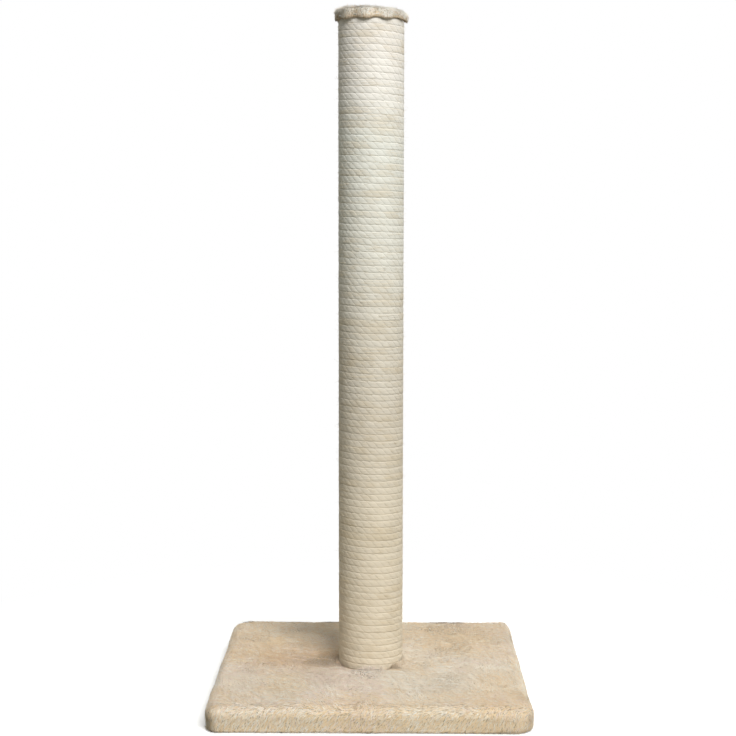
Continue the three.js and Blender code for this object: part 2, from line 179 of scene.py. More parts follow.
def tubes(rings: Array, tips: Optional[Array] = None) -> Shape:
    """Skins many paths at once, each a row of rings, and closes both ends.

    Args:
        rings: (paths, rings, sides, 3) points. Each ring turns anticlockwise seen from ahead.
        tips: (paths, 3) points that the paths end in, or None for flat ends.

    Returns:
        All the paths' surfaces as one shape.
    """
    paths, count, sides = rings.shape[:3]
    points = rings.reshape(paths, -1, 3)
    side, inner, last = np.arange(sides), np.arange(1, sides - 1), (count - 1) * sides
    foot = np.stack([0 * inner, inner + 1, inner], -1)
    if tips is None:
        head = last + np.stack([0 * inner, inner, inner + 1], -1)
    else:
        points = np.concatenate([points, tips[:, None]], 1)
        head = np.stack([last + side, last + (side + 1) % sides, 0 * side + count * sides], -1)
    each = np.concatenate([lattice(count, sides), foot, head])
    triangles = each[None] + points.shape[1] * np.arange(paths)[:, None, None]
    return Shape(points.reshape(-1, 3), triangles.reshape(-1, 3))


def sweep(
    centres: Array,
    across: Array,
    upward: Array,
    phase: float = 0.0,
    sides: int = 6,
    pointed: bool = False,
) -> Shape:
    """Carries an oval section along many paths at once.

    Point j of a section is its centre + cos(a) across + sin(a) upward, where a is the phase plus
    j parts of a full turn.

    Args:
        centres: (paths, stations, 3) points along each path.
        across: (paths, stations, 3) first half axis of each section.
        upward: (paths, stations, 3) second one; across x upward points along the path.
        phase: The angle of the section's first point.
        sides: Points in a section.
        pointed: Whether the last station is a point.

    Returns:
        All the paths' surfaces as one shape.
    """
    count = centres.shape[1] - int(pointed)
    angle = (phase + TURN * np.arange(sides) / sides)[:, None]
    rings = centres[:, :count, None] + np.cos(angle) * across[:, :count, None]
    rings = rings + np.sin(angle) * upward[:, :count, None]
    return tubes(rings, centres[:, -1] if pointed else None)


def on_points(values: Array, sides: int) -> Array:
    """Repeats the (paths, stations) values of a pointed sweep on each point of its sections."""
    rings = np.repeat(values[:, :-1], sides, axis=1)
    return np.concatenate([rings, values[:, -1:]], 1).ravel()


def facing_out(shape: Shape) -> Shape:
    """Turns the triangles round if the volume that they enclose, summed over them, is negative."""
    a, b, c = (shape.points[shape.triangles[:, i]] for i in range(3))
    if (a * np.cross(b, c)).sum() < 0:
        shape.triangles = shape.triangles[:, ::-1].copy()
    return shape


def point_normals(shape: Shape) -> Array:
    """The unit normal at each point: the sum of its triangles' normals, weighted by their area.

    Args:
        shape: The surface.

    Returns:
        The normals.
    """
    a, b, c = (shape.points[shape.triangles[:, i]] for i in range(3))
    face = np.repeat(np.cross(b - a, c - a), 3, axis=0)
    sums = [
        np.bincount(shape.triangles.ravel(), face[:, axis], len(shape.points)) for axis in range(3)
    ]
    return unit(np.stack(sums, -1))


@dataclass(frozen=True)
class Drift:
    """Smooth random variation over a plane, from -1 to 1."""

    seed: int
    cell: float  # between the points of its square lattice of random values
    lattice: int = 67

    def at(self, x: Array, y: Any = 0.0) -> Array:
        """Blends the four lattice values round each place by the smoothstep of its cell's shares.

        Args:
            x: First coordinates.
            y: Second coordinates.

        Returns:
            The variation at each place.
        """
        table = np.random.default_rng(self.seed).uniform(-1, 1, (self.lattice, self.lattice))
        x, y = np.broadcast_arrays(x / self.cell, y / self.cell)
        column, row = np.floor(x).astype(int), np.floor(y).astype(int)
        right, up = x - column, y - row
        right, up = right * right * (3 - 2 * right), up * up * (3 - 2 * up)

        def value(step_up: int, step_right: int) -> Array:
            """The lattice value at a corner of each place's cell."""
            return table[(row + step_up) % self.lattice, (column + step_right) % self.lattice]

        low = value(0, 0) * (1 - right) + value(0, 1) * right
        high = value(1, 0) * (1 - right) + value(1, 1) * right
        return low * (1 - up) + high * up

    def layered(self, x: Array, y: Any = 0.0, layers: int = 3) -> Array:
        """The variation plus finer layers, each with half the cell and half the weight."""
        shares = [0.5**i for i in range(layers)]
        fine = [Drift(self.seed + i, self.cell * s).at(x, y) * s for i, s in enumerate(shares)]
        return sum(fine) / sum(shares)


@dataclass(frozen=True)
class Spot:
    """A soft-edged oval patch in plan. Its middle and its reaches are in millimetres."""

    x: float
    y: float
    wide: float
    deep: float
    size: float = 1.0

    def at(self, x: Array, y: Array) -> Array:
        """Its size times exp(-(across / wide) squared - (along / deep) squared) at places."""
        across, along = (x / MM - self.x) / self.wide, (y / MM - self.y) / self.deep
        return self.size * np.exp(-(across**2) - along**2)


# --- shader nodes

Feed = Union["Value", float, Sequence[float]]


def feed(socket: bpy.types.NodeSocket, source: Feed) -> None:
    """Links a varying value to a socket, or sets a constant on it.

    Args:
        socket: The input to fill.
        source: A varying value, a number, or a colour or vector.
    """
    if isinstance(source, Value):
        socket.id_data.links.new(source.socket, socket)
    elif socket.type == "RGBA":
        socket.default_value = (*source, 1.0)
    else:
        socket.default_value = source


def sign(operation: str, turned: bool = False) -> Callable[["Value", Feed], "Value"]:
    """Makes the method behind a sign of arithmetic.

    Args:
        operation: The Math node's operation.
        turned: Whether the other operand comes first.

    Returns:
        The method, which takes the other operand.
    """

    def method(self: "Value", other: Feed) -> "Value":
        """That operation on this and another."""
        return self.maths(operation, *((other, self) if turned else (self, other)))

    return method


@dataclass(frozen=True)
class Value:
    """A value that varies over a surface: an output socket, with the arithmetic it can take."""

    socket: bpy.types.NodeSocket

    def maths(self, operation: str, *operands: Feed) -> "Value":
        """Adds a Math node of that operation on the operands.

        Args:
            operation: The node's operation.
            *operands: What its sockets take, in order.

        Returns:
            Its result.
        """
        node = self.socket.id_data.nodes.new("ShaderNodeMath")
        node.operation = operation
        for slot, operand in zip(node.inputs, operands):
            feed(slot, operand)
        return Value(node.outputs[0])

    __add__, __radd__ = sign("ADD"), sign("ADD", turned=True)
    __sub__, __rsub__ = sign("SUBTRACT"), sign("SUBTRACT", turned=True)
    __mul__, __rmul__ = sign("MULTIPLY"), sign("MULTIPLY", turned=True)
    __pow__ = sign("POWER")

    def fraction(self) -> "Value":
        """What is left of this above its whole number."""
        return self.maths("FRACT", self)


class Shading:
    """The nodes of a new material, or of a world, as they are added."""

    def __init__(self, owner: Union[str, bpy.types.World]) -> None:
        """Starts an empty node tree in a world, or in a new material of that name."""
        self.owner = bpy.data.materials.new(owner) if isinstance(owner, str) else owner
        self.owner.use_nodes = True
        self.tree = self.owner.node_tree
        self.tree.nodes.clear()

    def node(
        self,
        kind: str,
        settings: Optional[Mapping[str, Any]] = None,
        inputs: Optional[Mapping[str, Feed]] = None,
        output: Optional[str] = None,
    ) -> Value:
        """Adds one node.

        Args:
            kind: Its type, without the ShaderNode in front.
            settings: Its own settings, set first. A ramp's stops are (place, colour) pairs.
            inputs: What each of its sockets takes, by the socket's name.
            output: The output to return, the first in use if none is named.

        Returns:
            That output.
        """
        node = self.tree.nodes.new("ShaderNode" + kind)
        for key, setting in (settings or {}).items():
            if key == "stops":
                self.set_stops(node.color_ramp, setting)
            else:
                setattr(node, key, setting)
        for key, source in (inputs or {}).items():
            feed(next(s for s in node.inputs if s.enabled and s.name == key), source)
        outputs = [s for s in node.outputs if s.enabled]
        return Value(next(s for s in outputs if output in (None, s.name)) if outputs else None)

    @staticmethod
    def set_stops(ramp: bpy.types.ColorRamp, stops: Sequence[tuple[float, Colour]]) -> None:
        """Gives a ramp these stops, each a place and a colour.

        Args:
            ramp: The ramp.
            stops: Each a place from 0 to 1 and a colour.
        """
        while len(ramp.elements) < len(stops):
            ramp.elements.new(1.0)
        for element, (place, colour) in zip(ramp.elements, stops):
            element.position = place
            element.color = (*colour, 1.0)

    def joined(self, kind: str, *sources: Feed) -> Value:
        """Adds a node whose sockets take the sources in order, and gives its first output."""
        node = self.tree.nodes.new("ShaderNode" + kind)
        for socket, source in zip(node.inputs, sources):
            feed(socket, source)
        return Value(node.outputs[0])

    def place(self, scale: Sequence[float] = (1, 1, 1)) -> Value:
        """Object coordinates, each times its scale."""
        here = self.node("TexCoord", output="Object")
        return self.node("Mapping", inputs={"Vector": here, "Scale": scale})

    def axes(self, vector: Value) -> tuple[Value, ...]:
        """The X, Y and Z of a vector."""
        node = self.joined("SeparateXYZ", vector).socket.node
        return tuple(Value(socket) for socket in node.outputs)

    def noise(self, scale: Sequence[float], detail: float = 2.0) -> Value:
        """Noise from 0 to 1 with so many waves in a metre along X, Y and Z."""
        sockets = {"Vector": self.place(scale), "Scale": 1.0, "Detail": detail}
        return self.node("TexNoise", inputs=sockets, output="Fac")

    def step(self, value: Value, low: float, high: float) -> Value:
        """A smooth step from 0 where the value is low to 1 where it is high."""
        sockets = {"Value": value, "From Min": low, "From Max": high}
        return self.node("MapRange", {"interpolation_type": "SMOOTHSTEP"}, sockets)

    def mix(self, share: Feed, first: Feed, second: Feed) -> Value:
        """A colour between two, with that share of the second."""
        sockets = {"Factor": share, "A": first, "B": second}
        return self.node("Mix", {"data_type": "RGBA"}, sockets)

    def scaled(self, colour: Feed, by: Feed) -> Value:
        """A colour made darker or lighter by a factor."""
        return self.node("VectorMath", {"operation": "SCALE"}, {"Vector": colour, "Scale": by})

    def bump(self, height: Value, depth: float) -> Value:
        """The normal that a height from 0 to 1 gives over a depth in metres."""
        return self.node("Bump", inputs={"Height": height, "Distance": depth, "Strength": 1.0})

    def finish(self, **sockets: Feed) -> Material:
        """Ends the material with a Principled surface.

        Args:
            **sockets: What its sockets take, by their names with underscores for spaces.

        Returns:
            The material.
        """
        named = {key.replace("_", " "): source for key, source in sockets.items()}
        surface = self.node("BsdfPrincipled", inputs=named, output="BSDF")
        self.node("OutputMaterial", inputs={"Surface": surface})
        return self.owner


# --- finishes


@dataclass(frozen=True)
class NapFinish:
    """The plush's standing pile. Its colour follows the tone and the cast that each tuft has."""

    shaded: tuple[Colour, ...] = (
        paint(224, 188, 142),
        paint(228, 204, 172),
        paint(228, 200, 178),
        paint(236, 220, 196),
    )
    lit: tuple[Colour, ...] = (
        paint(250, 224, 184),
        paint(250, 236, 212),
        paint(252, 232, 216),
        paint(255, 250, 238),
    )
    root_shade: float = 0.88  # the brightness of a tuft's root
    gloom: float = 0.55  # how much darker pile gets per unit of tone below 0

    def material(self) -> Material:
        """Reads tone across the nap's map, and cast and height along the tuft up it.

        The colour is the cast's, mixed from shaded to lit by the tone, times the shade of the
        height, times 1 + gloom x tone where the tone is below 0.

        Returns:
            The material.
        """
        shading = Shading("plush_nap")
        across, rows, _ = shading.axes(shading.node("UVMap", {"uv_map": NAP_MAP}))
        tone = across * (1 - DARKEST) + DARKEST

        def by_cast(colours: tuple[Colour, ...]) -> Value:
            """The colour of the row that the map's height falls in."""
            stops = [(i / len(Cast), colour) for i, colour in enumerate(colours)]
            ramp = shading.node("ValToRGB", {"stops": stops}, {"Fac": rows}, "Color")
            ramp.socket.node.color_ramp.interpolation = "CONSTANT"
            return ramp

        colour = shading.mix(tone, by_cast(self.shaded), by_cast(self.lit))
        along = (rows * float(len(Cast))).fraction()
        shade = self.root_shade + (1 - self.root_shade) * along**0.6
        dim = 1 + self.gloom * tone.maths("MINIMUM", tone, 0.0)
        return shading.finish(
            Base_Color=shading.scaled(colour, shade * dim),
            Roughness=0.85,
            Specular_IOR_Level=0.2,
            Sheen_Weight=0.25,
            Sheen_Roughness=0.5,
        )


@dataclass(frozen=True)
class ClothFinish:
    """The plush's knitted ground, seen between the tufts and from below."""

    deep: Colour = paint(168, 151, 122)
    pale: Colour = paint(208, 193, 166)
    patch: float = 28.0  # waves in a metre
    knit: float = 900.0

    def material(self) -> Material:
        """Mottles two colours and raises a fine grain like short fibres.

        Returns:
            The material.
        """
        shading = Shading("plush_ground")
        mottle = shading.noise((self.patch,) * 3, 4.0)
        grain = shading.noise((self.knit,) * 3, 2.0)
        share = shading.step(mottle * 0.7 + grain * 0.3, 0.3, 0.7)
        return shading.finish(
            Base_Color=shading.mix(share, self.deep, self.pale),
            Roughness=0.95,
            Specular_IOR_Level=0.1,
            Normal=shading.bump(grain, 0.5 * MM),
        )


@dataclass(frozen=True)
class SisalFinish:
    """Twisted sisal: pale fibres along the rope, made whiter towards the post's head by painted
    light, with painted shade in its grooves.
    """

    # the colours up the post are painted light: warmer at the foot, whiter towards the head
    low: Colour = paint(236, 224, 202)
    middle: Colour = paint(224, 215, 199)
    high: Colour = paint(234, 234, 225)
    top: Colour = paint(242, 237, 229)
    # deep is the painted shade of the grooves between turns
    deep: Colour = paint(176, 160, 126)
    straw: Colour = paint(214, 194, 156)
    foot: float = 0.03  # the heights that low and top belong to
    head: float = 0.88
    valley: float = 39.5 * MM  # from the post's axis to the bottom of a groove
    crest: float = 42.3 * MM
    streak: tuple[float, ...] = (55, 55, 1900)  # waves in a metre
    straws: tuple[float, ...] = (26, 26, 420)
    drift: tuple[float, ...] = (6, 6, 6)
    brightness: tuple[float, ...] = (0.65, 0.14, 0.22, 0.11)  # + what streaks, straws, tone add

    def material(self) -> Material:
        """Streaks run round the post, fine across it; the grooves between turns are darker with
        painted shade, and the colour ramps up the post as painted light.

        Returns:
            The material.
        """
        shading = Shading("sisal_rope")
        x, y, z = shading.axes(shading.place())
        radius = (x * x + y * y) ** 0.5
        tone = shading.node("Attribute", {"attribute_name": TONE}, output="Fac")
        streak, straws = shading.noise(self.streak, 3.0), shading.noise(self.straws, 3.0)
        drift = shading.noise(self.drift, 2.0)
        # painted light: the colour ramps from the foot to the head
        height = shading.step(z + (drift - 0.5) * 0.25, self.foot, self.head)
        stops = [(0.0, self.low), (0.4, self.middle), (0.92, self.high), (1.0, self.top)]
        colour = shading.node("ValToRGB", {"stops": stops}, {"Fac": height}, "Color")
        dry = shading.step(straws * 0.5 + (1 - tone) * 0.5, 0.45, 0.72)
        colour = shading.mix(dry * 0.35, colour, self.straw)
        # painted shade: darker where the rope's surface lies deep in a groove
        groove_shade = 1 - shading.step(radius, self.valley, self.crest)
        colour = shading.mix(groove_shade * 0.08, colour, self.deep)
        least, by_streak, by_straws, by_tone = self.brightness
        bright = least + by_streak * streak + by_straws * straws + by_tone * tone
        return shading.finish(
            Base_Color=shading.scaled(colour, bright),
            Roughness=0.8,
            Specular_IOR_Level=0.25,
            Normal=shading.bump(streak * 0.5 + straws * 0.5, 0.8 * MM),
        )


@dataclass(frozen=True)
class FibreFinish:
    """The fine loose fibres of the rope."""

    pale: Colour = paint(240, 230, 208)
    dull: Colour = paint(206, 186, 146)

    def material(self) -> Material:
        """Pale straw that drifts slowly from fibre to fibre.

        Returns:
            The material.
        """
        shading = Shading("sisal_fibre")
        share = shading.step(shading.noise((160, 160, 400), 2.0), 0.35, 0.65)
        colour = shading.mix(share, self.dull, self.pale)
        return shading.finish(Base_Color=colour, Roughness=0.7, Specular_IOR_Level=0.3)


@dataclass(frozen=True)
class ChipboardFinish:
    """Raw chipboard: pressed wood chips of mixed browns."""

    pale: Colour = paint(222, 196, 152)
    dark: Colour = paint(158, 122, 80)
    resin: Colour = paint(108, 80, 50)
    chip: float = 420.0  # chips in a metre

    def material(self) -> Material:
        """Each cell of a flattened Voronoi pattern is one chip.

        Returns:
            The material.
        """
        shading = Shading("raw_chipboard")
        cells = shading.place((self.chip * 0.45, self.chip, self.chip * 1.6))
        chips = shading.node("TexVoronoi", inputs={"Vector": cells, "Scale": 1.0}, output="Color")
        tint, _, _ = shading.axes(chips)
        dust = shading.noise((900, 900, 900), 2.0)
        colour = shading.mix(tint * 0.7 + dust * 0.3, self.dark, self.pale)
        specks = shading.step(shading.noise((700, 1300, 1300), 1.0), 0.62, 0.7)
        colour = shading.mix(specks * 0.6, colour, self.resin)
        return shading.finish(
            Base_Color=colour, Roughness=0.82, Normal=shading.bump(tint + dust, 0.25 * MM)
        )


@dataclass(frozen=True)
class CardboardFinish:
    """A tube wound from kraft paper: its plies make a shallow seam that climbs round it."""

    paper: Colour = paint(186, 152, 108)
    fleck: Colour = paint(146, 114, 76)
    seam_rise: float = 110 * MM  # in one turn

    def material(self) -> Material:
        """The seam is where height less its rise round the tube comes back to a whole pitch.

        Returns:
            The material.
        """
        shading = Shading("wound_cardboard")
        x, y, z = shading.axes(shading.place())
        turn = y.maths("ARCTAN2", y, x) * (1 / TURN)
        climb = (z * (1 / self.seam_rise) - turn).fraction()
        seam = 1 - shading.step(climb, 0.0, 0.012)
        fibre = shading.noise((500, 500, 160), 3.0)
        colour = shading.mix(shading.step(fibre, 0.45, 0.7), self.paper, self.fleck)
        colour = shading.scaled(colour, 1 - 0.35 * seam)
        return shading.finish(
            Base_Color=colour, Roughness=0.85, Normal=shading.bump(fibre - seam, 0.15 * MM)
        )


@dataclass(frozen=True)
class TurnedWoodFinish:
    """Pale softwood with its rings."""

    early: Colour = paint(226, 198, 152)
    late: Colour = paint(186, 148, 100)
    rings: float = 260.0  # in a metre

    def material(self) -> Material:
        """Growth rings are waves of the distance from a wavering line beside the piece.

        Returns:
            The material.
        """
        shading = Shading("turned_softwood")
        wave = shading.node(
            "TexWave",
            {"wave_type": "RINGS", "rings_direction": "Y"},
            {"Vector": shading.place(), "Scale": self.rings / 20, "Distortion": 3.0, "Detail": 2.0},
            "Fac",
        )
        grain = shading.noise((900, 90, 900), 2.0)
        colour = shading.mix(wave * 0.7 + grain * 0.3, self.early, self.late)
        return shading.finish(
            Base_Color=colour, Roughness=0.6, Normal=shading.bump(grain, 0.08 * MM)
        )


@dataclass(frozen=True)
class ZincFinish:
    """Bright zinc plate with a faint spangle and dull scuffs."""

    plate: Colour = paint(206, 208, 208)
    dull: Colour = paint(160, 162, 160)

    def material(self) -> Material:
        """Scuffs make the plate duller and rougher.

        Returns:
            The material.
        """
        shading = Shading("zinc_plate")
        scuff = shading.step(shading.noise((400, 400, 400), 3.0), 0.42, 0.68)
        return shading.finish(
            Base_Color=shading.mix(scuff, self.plate, self.dull),
            Metallic=1.0,
            Roughness=0.28 + 0.22 * scuff,
        )


# --- making pieces


def make_object(name: str, shape: Shape, finish: Material) -> Piece:
    """Puts a shape in the scene as one smooth mesh.

    Args:
        name: The object's name.
        shape: Its surface.
        finish: Its material.

    Returns:
        The object, at the origin.
    """
    mesh = bpy.data.meshes.new(name)
    count = len(shape.triangles)
    mesh.vertices.add(len(shape.points))
    mesh.vertices.foreach_set("co", shape.points.astype(np.float32).ravel())
    mesh.loops.add(3 * count)
    mesh.loops.foreach_set("vertex_index", shape.triangles.astype(np.int32).ravel())
    mesh.polygons.add(count)
    mesh.polygons.foreach_set("loop_start", np.arange(0, 3 * count, 3, dtype=np.int32))
    mesh.update(calc_edges=True)
    mesh.shade_smooth()
    if shape.uv is not None:
        layer = mesh.uv_layers.new(name=NAP_MAP)
        layer.data.foreach_set("uv", shape.uv[shape.triangles.ravel()].astype(np.float32).ravel())
    if shape.tone is not None:
        tones = mesh.attributes.new(TONE, "FLOAT", "POINT")
        tones.data.foreach_set("value", shape.tone.astype(np.float32))
    if shape.normals is not None:
        mesh.normals_split_custom_set_from_vertices(shape.normals)
    mesh.materials.append(finish)
    piece = bpy.data.objects.new(name, mesh)
    bpy.context.scene.collection.objects.link(piece)
    return piece


def make_piece(
    name: str, shape: Shape, finish: Material
) -> Piece:
    """Makes a piece of the post, which rides on its one body.

    Args:
        name: The piece's name.
        shape: Its surface.
        finish: Its material.

    Returns:
        The piece.
    """
    piece = make_object(name, shape, finish)
    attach(piece, "root")
    log.info("%s: %d triangles", name, len(shape.triangles))
    return piece


def make_staples(name: str, shape: Shape) -> Piece:
    """Makes a piece of staples in zinc."""
    return make_piece(name, shape, bpy.data.materials["zinc_plate"])


@dataclass(frozen=True)
class Staples:
    """Wire staples of one size, driven to their crowns."""

    crown: float = 10 * MM
    leg: float = 6 * MM
    wire: float = 1.1 * MM
    bend: float = 1.0 * MM  # radius of the two corners
    sides: int = 6

    def shape(self, middle: Array, along: Array, inward: Array) -> Shape:
        """Bends the wires: leg, quarter round, crown, quarter round, leg.

        Args:
            middle: (staples, 3) middles of the crowns.
            along: (staples, 3) unit vectors along the crowns.
            inward: (staples, 3) unit vectors along the legs.

        Returns:
            All the staples.
        """
        quarter = np.linspace(0, math.pi / 2, 4)
        half = self.crown / 2
        run = np.append(half - self.bend * (1 - np.sin(quarter)), half)
        fall = np.append(self.bend * (1 - np.cos(quarter)), self.leg)
        side = np.concatenate([-run[::-1], run])
        depth = np.concatenate([fall[::-1], fall])
        centres = (
            middle[:, None]
            + side[None, :, None] * along[:, None]
            + depth[None, :, None] * inward[:, None]
        )
        path = unit(np.gradient(centres, axis=1))
        across = unit(np.cross(along, inward))[:, None] + 0 * path
        upward = np.cross(path, across)
        thick = self.wire / 2
        return sweep(centres, across * thick, upward * thick, math.pi / self.sides, self.sides)


# --- plush


@dataclass
class Nap:
    """Tufts of pile on a ground: where they stand, and how they lie."""

    roots: Array
    normals: Array
    flow: Array  # the way they lie, made square to the normal here
    lean: Array  # from the normal, in radians
    length: Array
    width: Array
    tone: Array  # 0 shaded to 1 lit, and below 0 dark
    cast: Array
    floor: float = 0.3 * MM  # no tuft reaches lower
    softness: float = 0.88  # how far the tufts take the ground's shading
    curved: bool = False
    sunk: float = 0.35  # of its width, how deep a root stands
    taper: float = 0.35  # of its width, lost by its tip
    thick: float = 0.45  # of its width

    def chosen(self, which: Array) -> "Nap":
        """The tufts that a mask picks."""
        arrays = (self.roots, self.normals, self.flow, self.lean, self.length, self.width)
        picked = [a[which] for a in (*arrays, self.tone, self.cast)]
        return Nap(*picked, self.floor, self.softness, self.curved)

    def shape(self) -> Shape:
        """Makes each tuft a low three-sided spike, flat side down.

        Its line leaves the root at the lean's angle, or at less and bends to more where it is
        curved. Each half of the line has the direction cos(angle) normal + sin(angle) flow.

        Returns:
            All the tufts, with their map and softened normals.
        """
        flow = unit(self.flow - (self.flow * self.normals).sum(-1, keepdims=True) * self.normals)
        side = np.cross(self.normals, flow)
        bends = np.array([0.45, 1.3]) if self.curved else np.array([1.0])
        angle = self.lean[:, None] * bends
        ways = (
            np.cos(angle)[..., None] * self.normals[:, None]
            + np.sin(angle)[..., None] * flow[:, None]
        )
        steps = ways * (self.length[:, None, None] / len(bends))
        foot = self.roots - self.normals * (self.width * self.sunk)[:, None]
        centres = foot[:, None] + np.concatenate([0 * steps[:, :1], np.cumsum(steps, 1)], 1)
        stations = len(bends) + 1
        ways = np.concatenate([ways[:, :1], ways], 1)
        thin = 1 - self.taper * np.linspace(0, 1, stations)
        half = (self.width[:, None] / 2 * thin)[..., None]
        across = side[:, None] * half
        upward = np.cross(ways, side[:, None]) * half * self.thick
        spikes = sweep(centres, across, upward, math.pi / 2, 3, pointed=True)
        spikes.points[:, 2] = np.maximum(spikes.points[:, 2], self.floor)
        along = np.broadcast_to(np.linspace(0, 1, stations), (len(self.roots), stations))
        rows = (self.cast[:, None] + 0.04 + 0.92 * along) / len(Cast)
        tone = (np.clip(self.tone, DARKEST, 1) - DARKEST) / (1 - DARKEST)
        tone = tone.clip(0.01, 0.99)[:, None] + 0 * along
        spikes.uv = np.stack([on_points(tone, 3), on_points(rows, 3)], -1)
        # the normal on the tuft's upper side
        above = unit(np.cross(ways, side[:, None]))
        soft = unit(self.softness * self.normals[:, None] + (1 - self.softness) * above)
        spikes.normals = np.stack([on_points(soft[..., i], 3) for i in range(3)], -1)
        return spikes


@dataclass(frozen=True)
class Ground:
    """Places spread evenly over part of a surface."""

    roots: Array
    normals: Array

    @classmethod
    def sown(
        cls, shape: Shape, part: Array, density: float, random: Random
    ) -> "Ground":
        """Sows places at random, but evenly along the triangles' summed area.

        Args:
            shape: The surface.
            part: A mask of its triangles.
            density: Places in a square metre.
            random: The source of random numbers.

        Returns:
            The places and the surface's normals there.
        """
        chosen = shape.triangles[part]
        a, b, c = (shape.points[chosen[:, i]] for i in range(3))
        area = np.cumsum(np.linalg.norm(np.cross(b - a, c - a), axis=1) / 2)
        count = int(area[-1] * density)
        spots = (np.arange(count) + random.random(count)) / count * area[-1]
        pick = np.minimum(np.searchsorted(area, spots), len(chosen) - 1)
        first, second = random.random((2, count))
        root = np.sqrt(first)
        shares = np.stack([1 - root, root * (1 - second), root * second], -1)[..., None]
        corners = chosen[pick]
        normals = (point_normals(shape)[corners] * shares).sum(1)
        return cls((shape.points[corners] * shares).sum(1), unit(normals))


@dataclass(frozen=True)
class Outline:
    """The base in plan: straight sides between four round corners, anticlockwise from above."""

    corners: tuple[float, float, float, float]  # radii: back right, back left, front left and right
    arc_steps: int = 14
    side_steps: int = 44
    mitre_turn: float = math.radians(2.4)  # half the width of a hem's mitre, as an angle

    def parts(self) -> tuple[Array, Array, Array]:
        """Lays out one ring.

        Returns:
            The signs of the corner centres that each point belongs to, blended along the sides;
            the outward normals; and the corner radii.
        """
        arc = np.linspace(0, math.pi / 2, self.arc_steps + 1)
        middle = self.arc_steps // 2
        arc[middle - 1] = arc[middle] - self.mitre_turn
        arc[middle + 1] = arc[middle] + self.mitre_turn
        run = np.linspace(0, 1, self.side_steps + 1)[1:-1]
        signs = np.array([[1, 1], [-1, 1], [-1, -1], [1, -1]], float)
        places, turns, radii = [], [], []
        for corner in range(4):
            ahead = (corner + 1) % 4
            places += [np.repeat(signs[corner][None], len(arc), 0)]
            places += [signs[corner] * (1 - run)[:, None] + signs[ahead] * run[:, None]]
            turns += [arc + corner * math.pi / 2, 0 * run + (corner + 1) * math.pi / 2]
            radii += [0 * arc + self.corners[corner]]
            radii += [self.corners[corner] * (1 - run) + self.corners[ahead] * run]
        angle = np.concatenate(turns)
        normals = np.stack([np.cos(angle), np.sin(angle)], -1)
        return np.concatenate(places), normals, np.concatenate(radii)

    def rings(self, half: Array) -> Array:
        """Rings for rows of half widths: (half - radius) signs + radius normals, in plan.

        Args:
            half: (rows) half widths. A ring drawn in has its corners drawn in with it.

        Returns:
            (rows, points, 2) places.
        """
        signs, normals, radii = self.parts()
        inset = np.max(half) - half
        radius = np.maximum(radii[None] - inset[:, None], 3 * MM)[..., None]
        return (half[:, None, None] - radius) * signs + radius * normals

    def mitres(self) -> Array:
        """1 at the middle of each corner, and 0 elsewhere."""
        size = self.arc_steps + self.side_steps
        peaks = np.zeros(4 * size)
        peaks[self.arc_steps // 2 :: size] = 1
        return peaks


